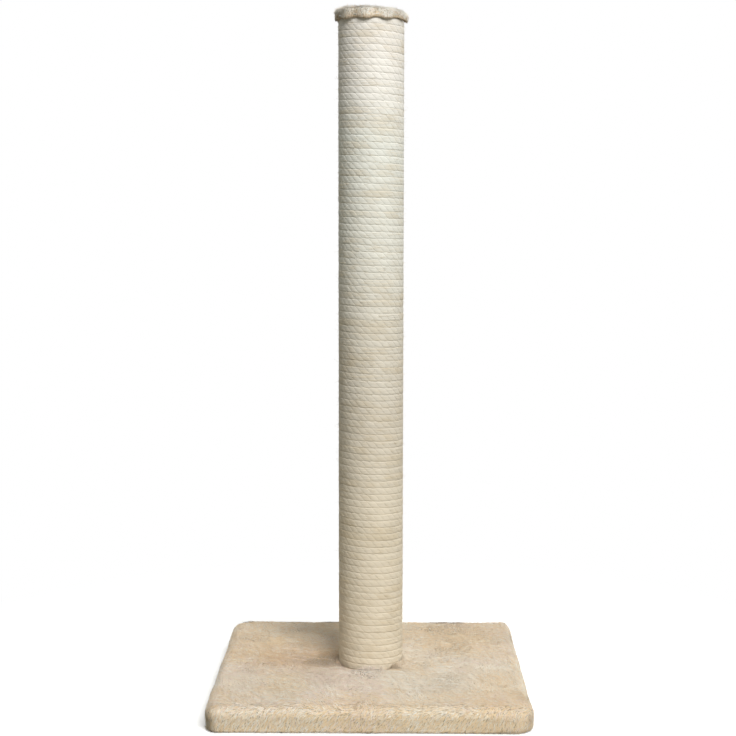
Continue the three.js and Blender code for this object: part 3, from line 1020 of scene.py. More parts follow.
@dataclass
class PlushBase:
    """The base's cover: plush over the board, folded under to a stapled hem."""

    cover: Room = field(default_factory=lambda: Room.of("base_cover"))
    board: Room = field(default_factory=lambda: Room.of("base_board"))
    foot: float = field(default_factory=lambda: Room.of("sisal_winding").low.z)
    post_radius: float = 43.3 * MM
    outline: Outline = Outline((13 * MM, 27 * MM, 17 * MM, 22 * MM))
    nap_stand: float = 1.9 * MM  # of the pile, from the ground to its tips
    slack: float = 0.25 * MM  # between the cloth's back and the board
    edge_round: float = 13 * MM
    hem_round: float = 4 * MM
    hem_width: float = 42 * MM
    hem_ground: float = 1.0 * MM  # of the folded cloth above the floor
    bolt_gap: float = 5 * MM
    density: float = 0.86e6  # tufts in a square metre
    hem_density: float = 0.22e6
    hem_rows: int = 11  # of the skin
    pile_length: float = 6.6 * MM
    pile_width: Span = (0.9 * MM, 1.35 * MM)
    laid: float = 85  # degrees that most of the pile lies from upright
    foot_dip: float = 0.2 * MM  # of the cloth round the post
    bare_dip: float = 2.2 * MM  # and how much more of it where no pile climbs
    foot_reach: float = 5 * MM
    climbing_tufts: int = 5200
    strokes: int = 170  # of the brush
    stroke_long: Span = (6 * MM, 20 * MM)  # half its length
    stroke_wide: Span = (1.0 * MM, 2.2 * MM)
    stroke_fade: float = 4 * MM  # past its ends
    bare_stretches: tuple[tuple[float, float], ...] = ((-134, 26), (-58, 8))  # degrees
    full_corner: Spot = Spot(190, -190, 45, 45, 2.5 * MM)  # stuffed fuller than the others
    painted_light_spots: tuple[Spot, ...] = (  # painted shadow of the post left of its foot, a small dark mark front right of it, and painted light in front of the foot
        Spot(-90, 6, 70, 48, -0.8),
        Spot(-55, -8, 28, 34, -0.8),
        Spot(37, -37, 11, 8, -1.3),
        Spot(-4, -55, 30, 20, 0.45),
    )
    warm_spots: tuple[Spot, ...] = (  # where the pile is tanner
        Spot(125, 100, 55, 55),
        Spot(-120, 40, 70, 70),
        Spot(170, -190, 45, 45),
        Spot(-20, -205, 50, 50),
    )
    staples_a_side: int = 6
    seed: int = 20

    def profile(self) -> tuple[Array, Array, Array]:
        """The cloth's section from the hem's raw edge round the outside to the post's foot.

        Returns:
            For each row its half width in plan, its height, and its share of a circle round the
            post, which is 0 at the base's edge and 1 at the foot.
        """
        half = self.cover.half - self.nap_stand
        top = self.cover.high.z - self.nap_stand
        quarter = np.linspace(0, math.pi / 2, 8)
        raw_edge = self.board.half - self.hem_width
        hem = np.linspace(raw_edge, half - self.hem_round, self.hem_rows + 1)[:-1]
        under = half - self.hem_round + self.hem_round * np.sin(quarter[:-1])
        under_z = self.hem_ground + self.hem_round * (1 - np.cos(quarter[:-1]))
        side_z = np.linspace(self.hem_ground + self.hem_round, top - self.edge_round, 10)
        edge = half - self.edge_round * (1 - np.cos(quarter[1:]))
        edge_z = top - self.edge_round + self.edge_round * np.sin(quarter[1:])
        share = np.linspace(0, 1, 44)[1:]
        halves = [hem, under, 0 * side_z + half, edge, 0 * share + edge[-1]]
        heights = [0 * hem + self.hem_ground, under_z, side_z, edge_z, 0 * share + top]
        shares = [0 * np.concatenate(halves[:4]), share]
        return np.concatenate(halves), np.concatenate(heights), np.concatenate(shares)

    def rows(self, half: Array, height: Array, share: Array) -> Array:
        """Rings of points: each ring is blended from the outline to a circle at the post's foot.

        Args:
            half: The rows' half widths.
            height: Their heights.
            share: Their shares of the circle.

        Returns:
            (rows, points, 3) places.
        """
        plan = self.outline.rings(half)
        circle = unit(plan) * (self.post_radius + 0.6 * MM)
        plan = plan * (1 - share)[:, None, None] + circle * share[:, None, None]
        tall = np.broadcast_to(height[:, None, None], (*plan.shape[:2], 1))
        return np.concatenate([plan, tall], -1)

    def skin(self) -> tuple[Shape, int]:
        """The cloth as a thin closed shell.

        The outside waves a little, sinks to a crushed seat under the post and has a mitre in
        each corner of the hem. The inside follows the board.

        Returns:
            The shell, and how many of its rows are the outside up to the post.
        """
        half, height, share = self.profile()
        outside = self.rows(half, height, share)
        x, y, z = outside[..., 0], outside[..., 1], outside[..., 2]
        wave = Drift(self.seed, 55 * MM).layered(x + 0.8 * z, y - 0.8 * z)
        dent = Drift(self.seed + 5, 90 * MM).layered(x - y, 2 * z)
        away = unit(outside[..., :2])
        on_side = np.clip((height - self.hem_ground) / (6 * MM), 0, 1) * (share < 0.02)
        push = 0.9 * MM * wave + 1.1 * MM * dent + self.full_corner.at(x, y)
        outside[..., :2] += away * (on_side[:, None] * push)[..., None]
        on_top = (height > self.cover.high.z - self.nap_stand - 1 * MM)[:, None]
        outside[..., 2] += np.where(on_top, 0.7 * MM * wave, 0.0)
        close, bare = self.by_the_foot(outside[..., 0], outside[..., 1])
        outside[..., 2] -= on_top * close * (self.foot_dip + self.bare_dip * bare)
        hem = (height <= self.hem_ground + 0.1 * MM)[:, None]
        outside[..., 2] += np.where(hem, 1.9 * MM * self.outline.mitres()[None], 0.0)
        counted = len(outside)
        outside = np.concatenate([outside, self.seat(outside[-1])])
        inside = self.lining()
        grid = np.concatenate([outside, inside])
        rows, columns = grid.shape[:2]
        shell = Shape(grid.reshape(-1, 3), lattice(rows, columns, rows_close=True))
        return facing_out(shell), counted

    def by_the_foot(self, x: Array, y: Array) -> tuple[Array, Array]:
        """How close places lie to the post's foot, and how bare of pile it is there.

        Args:
            x: Places from the left to the right.
            y: The same, front to back.

        Returns:
            exp(-(distance / reach) squared), and the same of the turn from the middle of each of
            the two stretches that no pile climbs: front left, and a short one front right.
        """
        close = np.exp(-(((np.hypot(x, y) - self.post_radius) / self.foot_reach) ** 2))
        angle = np.degrees(np.arctan2(y, x))
        bare = 0 * angle
        for middle, reach in self.bare_stretches:
            off = (angle - middle + 180) % 360 - 180
            bare = np.maximum(bare, np.exp(-((off / reach) ** 4)))
        return close, bare

    def seat(self, rim: Array) -> Array:
        """Rings of crushed cloth under the post's foot, from the rim in to the bolt.

        Args:
            rim: The ring at the post's foot.

        Returns:
            (rings, points, 3) places.
        """
        seat = self.foot - 0.4 * MM
        way = unit(rim[:, :2])
        radii = np.array([self.post_radius - 1 * MM, self.post_radius * 0.6, self.bolt_gap])
        plan = way[None] * radii[:, None, None]
        return np.concatenate([plan, np.full((*plan.shape[:2], 1), seat)], -1)

    def lining(self) -> Array:
        """Rings of the cloth's back, from the bolt out over the board and under to the hem.

        Returns:
            (rings, points, 3) places.
        """
        over = self.board.high.z + self.slack
        under = self.board.low.z - self.slack
        side = self.board.half + self.slack
        hem = self.board.half - self.hem_width
        bolt = unit(self.outline.rings(np.array([side]))[0]) * self.bolt_gap
        half = np.array([side - 3 * MM, side, side, side - 1 * MM, hem])
        height = np.array([over, over - 3 * MM, under + 1 * MM, under, under])
        rings = self.rows(half, height, 0 * half)
        middle = np.concatenate([bolt, np.full((len(bolt), 1), over)], -1)
        return np.concatenate([middle[None], rings])

    def flow(self, ground: Ground) -> Array:
        """Which way the pile lies: brushed about on top, and down the sides.

        On top the direction is (cos a, sin a, 0), where a drifts by up to three radians either
        way from lying towards the left. Down the sides the pull of -Z takes over.
        """
        x, y = ground.roots[:, 0], ground.roots[:, 1]
        angle = math.radians(200) + 3.0 * Drift(self.seed + 9, 52 * MM).layered(x, y, 4)
        steep = np.clip(1 - ground.normals[:, 2], 0, 1)[:, None]
        return around(angle) * (1 - 0.3 * steep) + np.array([0, 0, -0.9]) * steep

    def brushed_sheen(self, x: Array, y: Array, random: Random) -> Array:
        """Short pale strokes where the pile was brushed the other way; their paleness is a painted
        sheen.

        A stroke is brightest on its middle line and fades as exp(-(distance / width) squared).

        Args:
            x: Where the tufts stand.
            y: The same, front to back.
            random: The source of random numbers.

        Returns:
            How far each tuft lies in a stroke, from 0 to 1.
        """
        light = np.zeros_like(x)
        reach = self.cover.half
        swing = Drift(self.seed + 13, 70 * MM)
        for _ in range(self.strokes):
            middle = random.uniform(-reach, reach, 2) + (0.02, -0.015)
            angle = 1.3 * float(swing.at(*middle)) + random.normal(0, 0.25)
            half_long = random.uniform(*self.stroke_long)
            half_wide = random.uniform(*self.stroke_wide)
            strength = random.uniform(0.35, 1.0)
            right, back = x - middle[0], y - middle[1]
            along = right * math.cos(angle) + back * math.sin(angle)
            aside = back * math.cos(angle) - right * math.sin(angle)
            past = np.maximum(np.abs(along) - half_long, 0) / self.stroke_fade
            light = np.maximum(light, strength * np.exp(-((aside / half_wide) ** 2) - past**2))
        return light

    def coloured(self, ground: Ground, random: Random) -> tuple[Array, Array]:
        """The tone and the cast of each tuft.

        Args:
            ground: Where the tufts stand.
            random: The source of random numbers.

        Returns:
            Tones, and row numbers of casts, picked at random by drifting odds.
        """
        x, y, z = ground.roots.T
        along, over = x + 0.9 * z, y - 0.9 * z
        patch = Drift(self.seed + 2, 62 * MM).layered(along, over, 3)
        fine = Drift(self.seed + 3, 11 * MM).layered(along, over, 2)
        top = np.clip(ground.normals[:, 2], 0, 1)
        edge = np.exp(-(((top - 0.6) / 0.28) ** 2))
        tone = 0.6 + 0.2 * patch + 0.12 * fine + random.normal(0, 0.07, len(x))
        # painted highlight round the top edge, and painted light down the sides and under the hem
        tone += 0.25 * edge + 0.45 * (1 - top)
        # painted sheen along the brushed strokes
        tone += 0.6 * self.brushed_sheen(x, y, random) * top
        # painted shadow of the post left of its foot and painted light in front of it, with a small
        # dark mark
        tone += sum(spot.at(x, y) for spot in self.painted_light_spots) * top
        # painted shade low on the sides by the floor, and a painted contact shadow round the foot
        # where no pile climbs
        low = np.clip(1 - z / (7 * MM), 0, 1) * (1 - top)
        close, bare = self.by_the_foot(x, y)
        tone -= 0.6 * low + 1.4 * close * bare * top
        warm = sum(spot.at(x, y) for spot in self.warm_spots)
        front = np.clip(-y / (150 * MM), -1, 1) * top
        rose = 0.30 + 1.3 * Drift(self.seed + 4, 75 * MM).layered(along, over, 2) + 0.3 * front
        tan = 0.25 + 1.3 * Drift(self.seed + 6, 65 * MM).layered(along, over, 2) + 0.7 * (1 - top)
        tan += 2.0 * warm - 0.3 * front
        cream = 0.15 + 0.5 * np.maximum(patch, 0) + 0.8 * np.clip(tone - 0.85, 0, 1)
        return tone, Cast.picked([tan, 0.75 + 0 * x, rose, cream], random)

    def nap(self, ground: Ground, random: Random, flat: float) -> Nap:
        """The pile on part of the ground.

        Args:
            ground: Where the tufts stand.
            random: The source of random numbers.
            flat: How much shorter and flatter than on top the pile is, from 0 to 1.

        Returns:
            The tufts.
        """
        count = len(ground.roots)
        x, y = ground.roots[:, 0], ground.roots[:, 1]
        matted = Drift(self.seed + 8, 26 * MM).layered(x, y, 3)
        tone, cast = self.coloured(ground, random)
        jitter = random.normal(0, 0.22, (count, 3))
        lean = self.laid + matted + random.normal(0, 3, count)
        stands = random.random(count) < 0.01 * (1 - flat)
        lean = np.where(stands, random.uniform(60, 74, count), lean)
        lift = random.uniform(0, 1.1 * MM, count)[:, None] * (1 - flat)
        return Nap(
            roots=ground.roots + ground.normals * lift,
            normals=ground.normals,
            flow=self.flow(ground) + jitter,
            lean=np.radians(lean),
            length=(self.pile_length + random.normal(0, 0.8 * MM, count)) * (1 - 0.5 * flat),
            width=random.uniform(*self.pile_width, count),
            tone=tone,
            cast=cast,
        )

    def fluff(self, random: Random) -> Nap:
        """Tufts that climb on the rope round the post's foot, short where it stays bare.

        Args:
            random: The source of random numbers.

        Returns:
            The tufts.
        """
        count = self.climbing_tufts
        angle = random.uniform(0, TURN, count)
        radius = self.post_radius + random.uniform(0.3 * MM, 5 * MM, count)
        way = around(angle)
        roots = way * radius[:, None]
        roots[:, 2] = self.cover.high.z - self.nap_stand - 0.2 * MM
        up = np.broadcast_to([0.0, 0.0, 1.0], way.shape)
        ground = Ground(roots, up)
        tone, cast = self.coloured(ground, random)
        _, bare = self.by_the_foot(roots[:, 0], roots[:, 1])
        roots[:, 2] -= self.foot_dip + self.bare_dip * bare
        height = 1 + 0.3 * Drift(self.seed + 15, 0.35).at(angle, 0.5)
        return Nap(
            roots=roots,
            normals=up,
            flow=-way + random.normal(0, 0.7, way.shape),
            lean=np.radians(random.uniform(12, 60, count) + 28 * bare),
            length=random.uniform(4.2 * MM, 7 * MM, count) * height * (1 - 0.6 * bare),
            width=random.uniform(0.55 * MM, 0.9 * MM, count),
            tone=tone + 0.05,
            cast=cast,
            curved=True,
        )

    def hem_staples(self) -> Shape:
        """Staples along the middle of the hem, their crowns along its sides.

        Returns:
            All the staples.
        """
        half = self.board.half - self.hem_width * 0.45
        places = np.linspace(-1, 1, self.staples_a_side + 2)[1:-1] * half
        middles, ways = [], []
        for side in range(4):
            angle = side * math.pi / 2
            cosine, sine = math.cos(angle), math.sin(angle)
            turn = np.array([[cosine, sine], [-sine, cosine]])
            row = np.stack([places, 0 * places - half], -1) @ turn
            middles += [np.column_stack([row, 0 * places + self.hem_ground - 0.3 * MM])]
            ways += [np.column_stack([np.tile(turn[0], (len(places), 1)), 0 * places])]
        middle, along = np.concatenate(middles), np.concatenate(ways)
        random = np.random.default_rng(self.seed + 30)
        skew = random.normal(0, 0.18, len(middle))
        aside = np.column_stack([-along[:, 1], along[:, 0], along[:, 2]])
        along = unit(along + aside * skew[:, None])
        middle[:, :2] += random.normal(0, 1.5 * MM, (len(middle), 2))
        up = np.broadcast_to([0.0, 0.0, 1.0], middle.shape)
        return Staples().shape(middle, along, up)

    def build(self) -> list[Piece]:
        """Makes the cover's pieces.

        Returns:
            The pieces.
        """
        random = np.random.default_rng(self.seed)
        shell, counted = self.skin()
        columns = len(self.outline.mitres())
        cloth = make_piece("base_cloth", shell, ClothFinish().material())
        nap_finish = NapFinish().material()
        row = shell.triangles.min(axis=1) // columns
        span = (shell.triangles.max(axis=1) // columns) - row <= 1
        outer = span & (row >= self.hem_rows) & (row < counted - 1)
        under = span & (row < self.hem_rows)
        over = self.nap(Ground.sown(shell, outer, self.density, random), random, 0.0)
        angle = np.arctan2(over.roots[:, 1], over.roots[:, 0])
        quarter = (np.floor((angle + math.pi / 4) / (math.pi / 2)).astype(int)) % 4
        naps = []
        for number, side in enumerate(("right", "back", "left", "front")):
            tufts = over.chosen(quarter == number).shape()
            naps += [make_piece(f"base_nap_{side}", tufts, nap_finish)]
        hem = self.nap(Ground.sown(shell, under, self.hem_density, random), random, 0.9)
        naps += [make_piece("base_nap_hem", hem.shape(), nap_finish)]
        foot = self.fluff(random).shape()
        naps += [make_piece("base_nap_foot", foot, nap_finish)]
        staples = make_staples("hem_staples", self.hem_staples())
        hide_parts("base_cover")
        return [cloth, *naps, staples]


@dataclass
class PlushCap:
    """The cap's cover: a round of plush over the disc, gathered to staples round its rim."""

    cover: Room = field(default_factory=lambda: Room.of("cap_cover"))
    disc: Room = field(default_factory=lambda: Room.of("cap_board"))
    slack: float = 0.3 * MM
    cloth: float = 1.7 * MM  # thickness over the rim
    crown: float = 3.6 * MM  # of the cloth over the disc's middle
    gathers: int = 10
    first_pinch: float = math.radians(-117)  # the gathers' place round the rim
    relief: float = 2.0 * MM
    dip: float = 1.6 * MM  # of the raw edge between two pinches
    tip: float = 0.035  # how steeply the crown falls to the right
    droop: float = 1.2  # and how much more so on the right half, per metre
    pile_length: Span = (4.0 * MM, 6.6 * MM)
    pile_width: Span = (0.75 * MM, 1.15 * MM)
    columns: int = 180
    density: float = 1.3e6  # tufts in a square metre
    seed: int = 41

    def fullness(self, angle: Array) -> Array:
        """How far the cloth swells between two pinches: (1 - cos) / 2, more in some gathers."""
        turns = (angle - self.first_pinch) / TURN * self.gathers
        random = np.random.default_rng(self.seed)
        size = random.uniform(0.6, 1.35, self.gathers)[np.floor(turns).astype(int) % self.gathers]
        return size * (1 - np.cos(turns * TURN)) / 2

    def skin(self) -> tuple[Shape, int]:
        """The cloth as a thin closed shell with a point at its middle, outside and inside.

        Returns:
            The shell, and how many of its rows are the outside.
        """
        angle = np.arange(self.columns) * TURN / self.columns
        full = self.fullness(angle)
        way = around(angle)[:, :2]
        rim = self.disc.half + self.slack + self.cloth
        over = self.disc.high.z + self.slack
        skirt = self.disc.low.z + 0.3 * MM
        quarter = np.linspace(0, math.pi / 2, 7)
        flat = np.linspace(0.06, 1, 12)[:-1] * (rim - 5 * MM)
        flat_z = over + self.crown - 1.2 * MM * (flat / rim) ** 3
        edge = rim - 5 * MM * (1 - np.sin(quarter))
        edge_z = flat_z[-1] - 0.3 * MM - 4 * MM * (1 - np.cos(quarter))
        wall_z = np.linspace(edge_z[-1], skirt, 7)[1:]
        radius = np.concatenate([flat, edge, 0 * wall_z + rim])
        height = np.concatenate([flat_z, edge_z, wall_z])
        outward = np.clip((radius / rim - 0.55) / 0.45, 0, 1) ** 2
        low = np.clip((over - height) / (over - skirt), 0, 1) ** 1.5
        spread = radius[:, None] + (outward[:, None] * (full - 0.5)[None]) * self.relief
        sink = low[:, None] * full[None] * self.dip
        right, back = spread * np.cos(angle), spread * np.sin(angle)
        lump = Drift(self.seed, 17 * MM).layered(right, back + 0.3)
        tilt = -self.tip * right - self.droop * np.maximum(right, 0) ** 2
        tall = height[:, None] - sink + (0.9 * MM * lump + tilt) * (1 - low[:, None])
        outside = np.concatenate([spread[..., None] * way, tall[..., None]], -1)
        bore = self.disc.half + self.slack
        in_radius = np.array([bore, bore, bore - 1 * MM, bore * 0.5, bore * 0.05])
        in_height = np.array([skirt, over - 1 * MM, over, over, over])
        inside = np.concatenate(
            [
                in_radius[:, None, None] * way[None],
                np.broadcast_to(in_height[:, None, None], (5, self.columns, 1)),
            ],
            -1,
        )
        inside[0, :, 2] -= self.dip * full
        grid = np.concatenate([outside, inside])
        points = grid.reshape(-1, 3)
        faces = lattice(len(grid), self.columns)
        poles = np.array([outside[0].mean(0), inside[-1].mean(0)])
        column = np.arange(self.columns)
        ahead = (column + 1) % self.columns
        last = (len(grid) - 1) * self.columns
        first_fan = np.stack([ahead, column, 0 * column + len(points)], -1)
        last_fan = np.stack([last + column, last + ahead, 0 * column + len(points) + 1], -1)
        shell = Shape(
            np.concatenate([points, poles]), np.concatenate([faces, first_fan, last_fan])
        )
        return facing_out(shell), len(outside)

    def nap(self, ground: Ground, random: Random) -> Nap:
        """The cap's pile: it swirls on the crown, and hangs down the rim and over the raw edge.

        Args:
            ground: Where the tufts stand.
            random: The source of random numbers.

        Returns:
            The tufts.
        """
        count = len(ground.roots)
        x, y, z = ground.roots.T
        radius = np.hypot(x, y)
        angle = np.arctan2(y, x)
        swirl = 1.6 * Drift(self.seed + 3, 15 * MM).layered(x, y + 0.4, 3)
        steep = np.clip(1 - ground.normals[:, 2], 0, 1)[:, None]
        hanging = np.array([0, 0, -1.2]) + 0.2 * around(angle)
        flow = around(angle + swirl) * (1 - steep) + hanging * steep
        patch = Drift(self.seed + 5, 16 * MM).layered(x + z, y - z, 3)
        pinch = 1 - np.clip(self.fullness(angle), 0, 1)
        raw = np.clip((self.disc.high.z - z) / (self.disc.high.z - self.disc.low.z), 0, 1)
        fold = pinch * steep[:, 0]
        # painted shade: darker in the folds of the pinches, and darkest along the raw edge, where
        # the gap under the rim lies in shadow
        tone = 1.05 + 0.6 * patch + random.normal(0, 0.1, count) - 1.5 * fold * raw - 1.3 * raw**4
        # painted light: paler towards the right
        tone += 0.4 * x / self.disc.half
        # where that painted shade falls, more beige and less cream, so that it reads olive
        dull = 0.3 * raw**4 + 0.6 * fold
        beige = 0.3 - 0.6 * patch + 1.6 * dull
        odds = [0.1 - patch, beige, 0.2 + 0 * patch, 2.0 + patch - dull]
        cast = Cast.picked(odds, random)
        lean = 82 + random.normal(0, 7, count)
        lean = np.where(random.random(count) < 0.08, random.uniform(40, 70, count), lean)
        lift = random.uniform(0, 1.7 * MM, count) * (1 - 0.8 * fold)
        short = (1 - 0.3 * steep[:, 0]) * (1 - 0.5 * raw**3) * (1 - 0.2 * fold)
        return Nap(
            roots=ground.roots + ground.normals * lift[:, None],
            normals=ground.normals,
            flow=flow + random.normal(0, 0.35, (count, 3)),
            lean=np.radians(lean),
            length=random.uniform(*self.pile_length, count) * short,
            width=random.uniform(*self.pile_width, count),
            tone=tone,
            cast=cast,
            softness=0.75,
        )

    def rim_staples(self) -> Shape:
        """One staple in each pinch, its crown round the rim.

        Returns:
            All the staples.
        """
        angle = self.first_pinch + np.arange(self.gathers) * TURN / self.gathers
        out, along = around(angle), around(angle + math.pi / 2)
        middle = out * (self.disc.half + self.slack + self.cloth - self.relief / 2)
        middle[:, 2] = (self.disc.low.z + self.disc.high.z) / 2 - 1 * MM
        return Staples().shape(middle, along, -out)

    def build(self) -> list[Piece]:
        """Makes the cap's pieces.

        Returns:
            The pieces.
        """
        random = np.random.default_rng(self.seed)
        shell, counted = self.skin()
        cloth = make_piece("cap_cloth", shell, bpy.data.materials["plush_ground"])
        row = shell.triangles.min(axis=1) // self.columns
        outer = (row < counted - 1) | (shell.triangles.max(axis=1) == len(shell.points) - 2)
        ground = Ground.sown(shell, outer, self.density, random)
        pile = self.nap(ground, random).shape()
        nap = make_piece("cap_nap", pile, bpy.data.materials["plush_nap"])
        staples = make_staples("cap_staples", self.rim_staples())
        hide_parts("cap_cover")
        return [cloth, nap, staples]


# --- rope


@dataclass
class SisalWinding:
    """One rope of three strands, wound from the foot of the tube to its head.

    Its turns press on each other, so that their sides are flat, and each end is squeezed thin
    between the last turn and the cover beyond it.
    """

    room: Room = field(default_factory=lambda: Room.of("sisal_winding"))
    tube: Room = field(default_factory=lambda: Room.of("post_tube"))
    turns: int = 97
    squeezed: float = 0.35  # the height of its ends, as a share of a turn's
    half_depth: float = 3.75 * MM
    boxed: float = 0.05  # how soon the section's flat outside rounds off: at once at 0
    pressed: float = 1.165  # how far the turns' sides sink into each other
    lay: float = 28 * MM  # the rope's length in one twist of its strands
    strands: int = 3
    strand_place: float = 0.10  # of the rope's half size, from its middle
    strand_size: float = 0.91
    arc_points: int = 8  # on a strand's outside
    steps_a_twist: int = 12
    slack: float = 0.3 * MM
    waver: float = 0.3 * MM  # of the borders between turns
    bulge: float = 0.16 * MM  # of the middle line, outward and inward
    thinnest: float = 0.3 * MM  # half the height of the squeezed ends
    uneven_lay: float = 0.07  # shares by which the twist, the strands and their yarns vary
    uneven_strand: float = 0.035
    uneven_yarn: float = 0.014
    fibres: int = 4500
    fibre_length: Span = (5 * MM, 15 * MM)
    fibre_half: Span = (0.07 * MM, 0.13 * MM)  # half its thickness
    fibre_lift: Span = (4, 26)  # degrees from the rope
    seed: int = 7

    @property
    def middle_radius(self) -> float:
        """From the post's axis to the rope's middle."""
        return self.tube.half + self.slack + self.half_depth

    def line(self) -> tuple[Array, Array, Array, Array, Array]:
        """The rope's middle line, a left-hand helix that starts and ends at the back.

        After t turns the rope lies between two borders: the upper one at the foot's height + the
        pitch times t, with a slow waver, and the lower one where the upper one was a turn ago.

        Returns:
            Points, outward vectors, vectors square to both line and outward, half its height
            between the borders, and the turns made.
        """
        foot, head = self.room.low.z, self.room.high.z
        pitch = (head - foot) / (self.turns - 1 + 2 * self.squeezed)
        length = self.turns * TURN * self.middle_radius
        made = np.linspace(0, self.turns, int(length / self.lay * self.steps_a_twist))

        def border(turns: Array) -> Array:
            """The upper border's height, kept between the foot and the head."""
            waver = self.waver * Drift(self.seed, 0.37).layered(turns + 3, 0.5, 2)
            height = foot + pitch * (turns + self.squeezed) + waver
            return np.clip(height, foot, head)

        upper, lower = border(made), border(made - 1)
        bulge = self.bulge * Drift(self.seed + 1, 0.23).layered(made, 0.5, 2)
        outward = around(math.pi / 2 - made * TURN)
        points = outward * (self.middle_radius + bulge)[:, None]
        points[:, 2] = (upper + lower) / 2
        aside = np.cross(unit(np.gradient(points, axis=0)), outward)
        return points, outward, aside, np.maximum((upper - lower) / 2, self.thinnest), made

    def strand(self, number: int) -> Shape:
        """Makes one strand, a wedge of the rope's section that turns with the twist.

        The strand's outside is part of a circle off the rope's middle. A point of it at the
        angle a in the rope's section, at the share d of the rope's size, stands out by
        d cos a sqrt((1 + b) / (cos a squared + b)) of the half depth, where b is how boxed the
        section is, and lies aside by sin a (1 + d) / 2 of the half height.

        Args:
            number: Which strand, from 0.

        Returns:
            The strand.
        """
        points, outward, aside, half, turns = self.line()
        loose = 1 + self.uneven_lay * Drift(self.seed + 2, 1.9).at(turns, 0.5)
        passed = turns * TURN * self.middle_radius
        twist = np.cumsum(np.diff(passed, prepend=0) * TURN / (self.lay * loose))
        reach = math.pi / self.strands - 0.008
        # against the twist, so that the cells' diagonals don't notch the turns' borders
        even = np.linspace(1, -1, self.arc_points)
        place = reach * (0.4 * even + 0.6 * np.sin(even * math.pi / 2))
        share = self.strand_place * np.cos(place)
        share = share + np.sqrt(self.strand_size**2 - (self.strand_place * np.sin(place)) ** 2)
        full = 1 + self.uneven_strand * Drift(self.seed + 10 + number, 0.31).layered(turns, 0.5, 2)
        yarns = [Drift(self.seed + 40 + j, 0.11).at(turns, 0.5 + number) for j in range(len(place))]
        share = share * (full[:, None] + self.uneven_yarn * np.stack(yarns, -1))
        angle = twist[:, None] + number * TURN / self.strands + place
        angle = np.concatenate([angle, angle.mean(1, keepdims=True)], 1)
        share = np.concatenate([share, np.full((len(turns), 1), 0.03)], 1)
        cosine = np.cos(angle)
        boxy = np.sqrt((1 + self.boxed) / (cosine**2 + self.boxed))
        out = cosine * boxy * share * self.half_depth
        side = np.sin(angle) * (0.5 + 0.5 * share) * half[:, None] * self.pressed
        side[:, -1] = 0.03 * half * np.sin(angle[:, -1])
        rings = points[:, None] + out[..., None] * outward[:, None]
        rings = rings + side[..., None] * aside[:, None]
        shape = facing_out(tubes(rings[None]))
        tone = 0.5 + 0.34 * Drift(self.seed + 60, 0.13).layered(turns, 0.5, 3)
        tone += 0.22 * Drift(self.seed + 70, 1.7).at(turns, 0.5)
        tone += 0.12 * Drift(self.seed + 80 + number, 0.05).at(turns, 0.5)
        shape.tone = np.repeat(tone, rings.shape[1])
        return shape

    def loose_fibres(self) -> Shape:
        """Fine fibres that lift off the rope.

        Each leaves its root along the rope and a little outward, and curls back as the square of
        the way along it.

        Returns:
            All the fibres.
        """
        points, outward, aside, half, _ = self.line()
        random = np.random.default_rng(self.seed + 20)
        count = self.fibres
        pick = random.integers(20, len(points) - 20, count)
        round_it = random.uniform(-1.3, 1.3, count)[:, None]
        out, up = outward[pick], aside[pick]
        along = np.cross(out, up) * random.choice([-1, 1], count)[:, None]
        away = np.cos(round_it) * out + np.sin(round_it) * up
        height = half[pick][:, None] * np.sin(round_it)
        root = points[pick] + out * self.half_depth * np.cos(round_it) ** 0.4 * 0.97 + up * height
        long = random.uniform(*self.fibre_length, count)[:, None, None]
        lift = np.radians(random.uniform(*self.fibre_lift, count))[:, None]
        way = unit(along * np.cos(lift) + away * np.sin(lift) + random.normal(0, 0.08, (count, 3)))
        curl = random.normal(0, 0.16, (count, 3)) - 0.22 * away
        share = np.linspace(0, 1, 5)[None, :, None]
        centres = root[:, None] + long * (share * way[:, None] + share**2 * curl[:, None])
        path = unit(np.gradient(centres, axis=1))
        across = unit(np.cross(path, away[:, None] + 0 * path))
        upward = np.cross(path, across)
        half = random.uniform(*self.fibre_half, count)[:, None, None] * (1 - 0.5 * share)
        return sweep(centres, across * half, upward * half, 0.0, 3, pointed=True)

    def end_staples(self) -> Shape:
        """A staple over the rope near each of its ends, its crown across the rope."""
        points, outward, aside, _, _ = self.line()
        places = np.array([14, len(points) - 15])
        middle = points[places] + outward[places] * (self.half_depth * 1.02)
        return Staples(crown=9.5 * MM, leg=7 * MM).shape(middle, aside[places], -outward[places])

    def build(self) -> list[Piece]:
        """Makes the winding's pieces.

        Returns:
            The pieces.
        """
        rope = SisalFinish().material()
        strands = [
            make_piece(f"rope_strand_{number + 1}", self.strand(number), rope)
            for number in range(self.strands)
        ]
        fibres = make_piece(
            "rope_fibres", self.loose_fibres(), FibreFinish().material()
        )
        staples = make_staples("rope_staples", self.end_staples())
        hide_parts("sisal_winding")
        return [*strands, fibres, staples]


# --- carcass


@dataclass
class Carcass:
    """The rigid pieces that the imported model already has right: board, tube, plugs and fixings."""

    finishes: Mapping[Slot, Material] = field(default_factory=dict)

    def dress(self) -> None:
        """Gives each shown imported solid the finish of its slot."""
        slots = {part["node"]: part["material_slot"] for part in frame["record"]["subparts"]}
        for name, node in frame["nodes"].items():
            slot = Slot(slots[name])
            if slot not in self.finishes:
                continue
            node.data.materials.clear()
            node.data.materials.append(self.finishes[slot])
            log.info("%s: dressed in %s", name, slot.value)


# --- studio


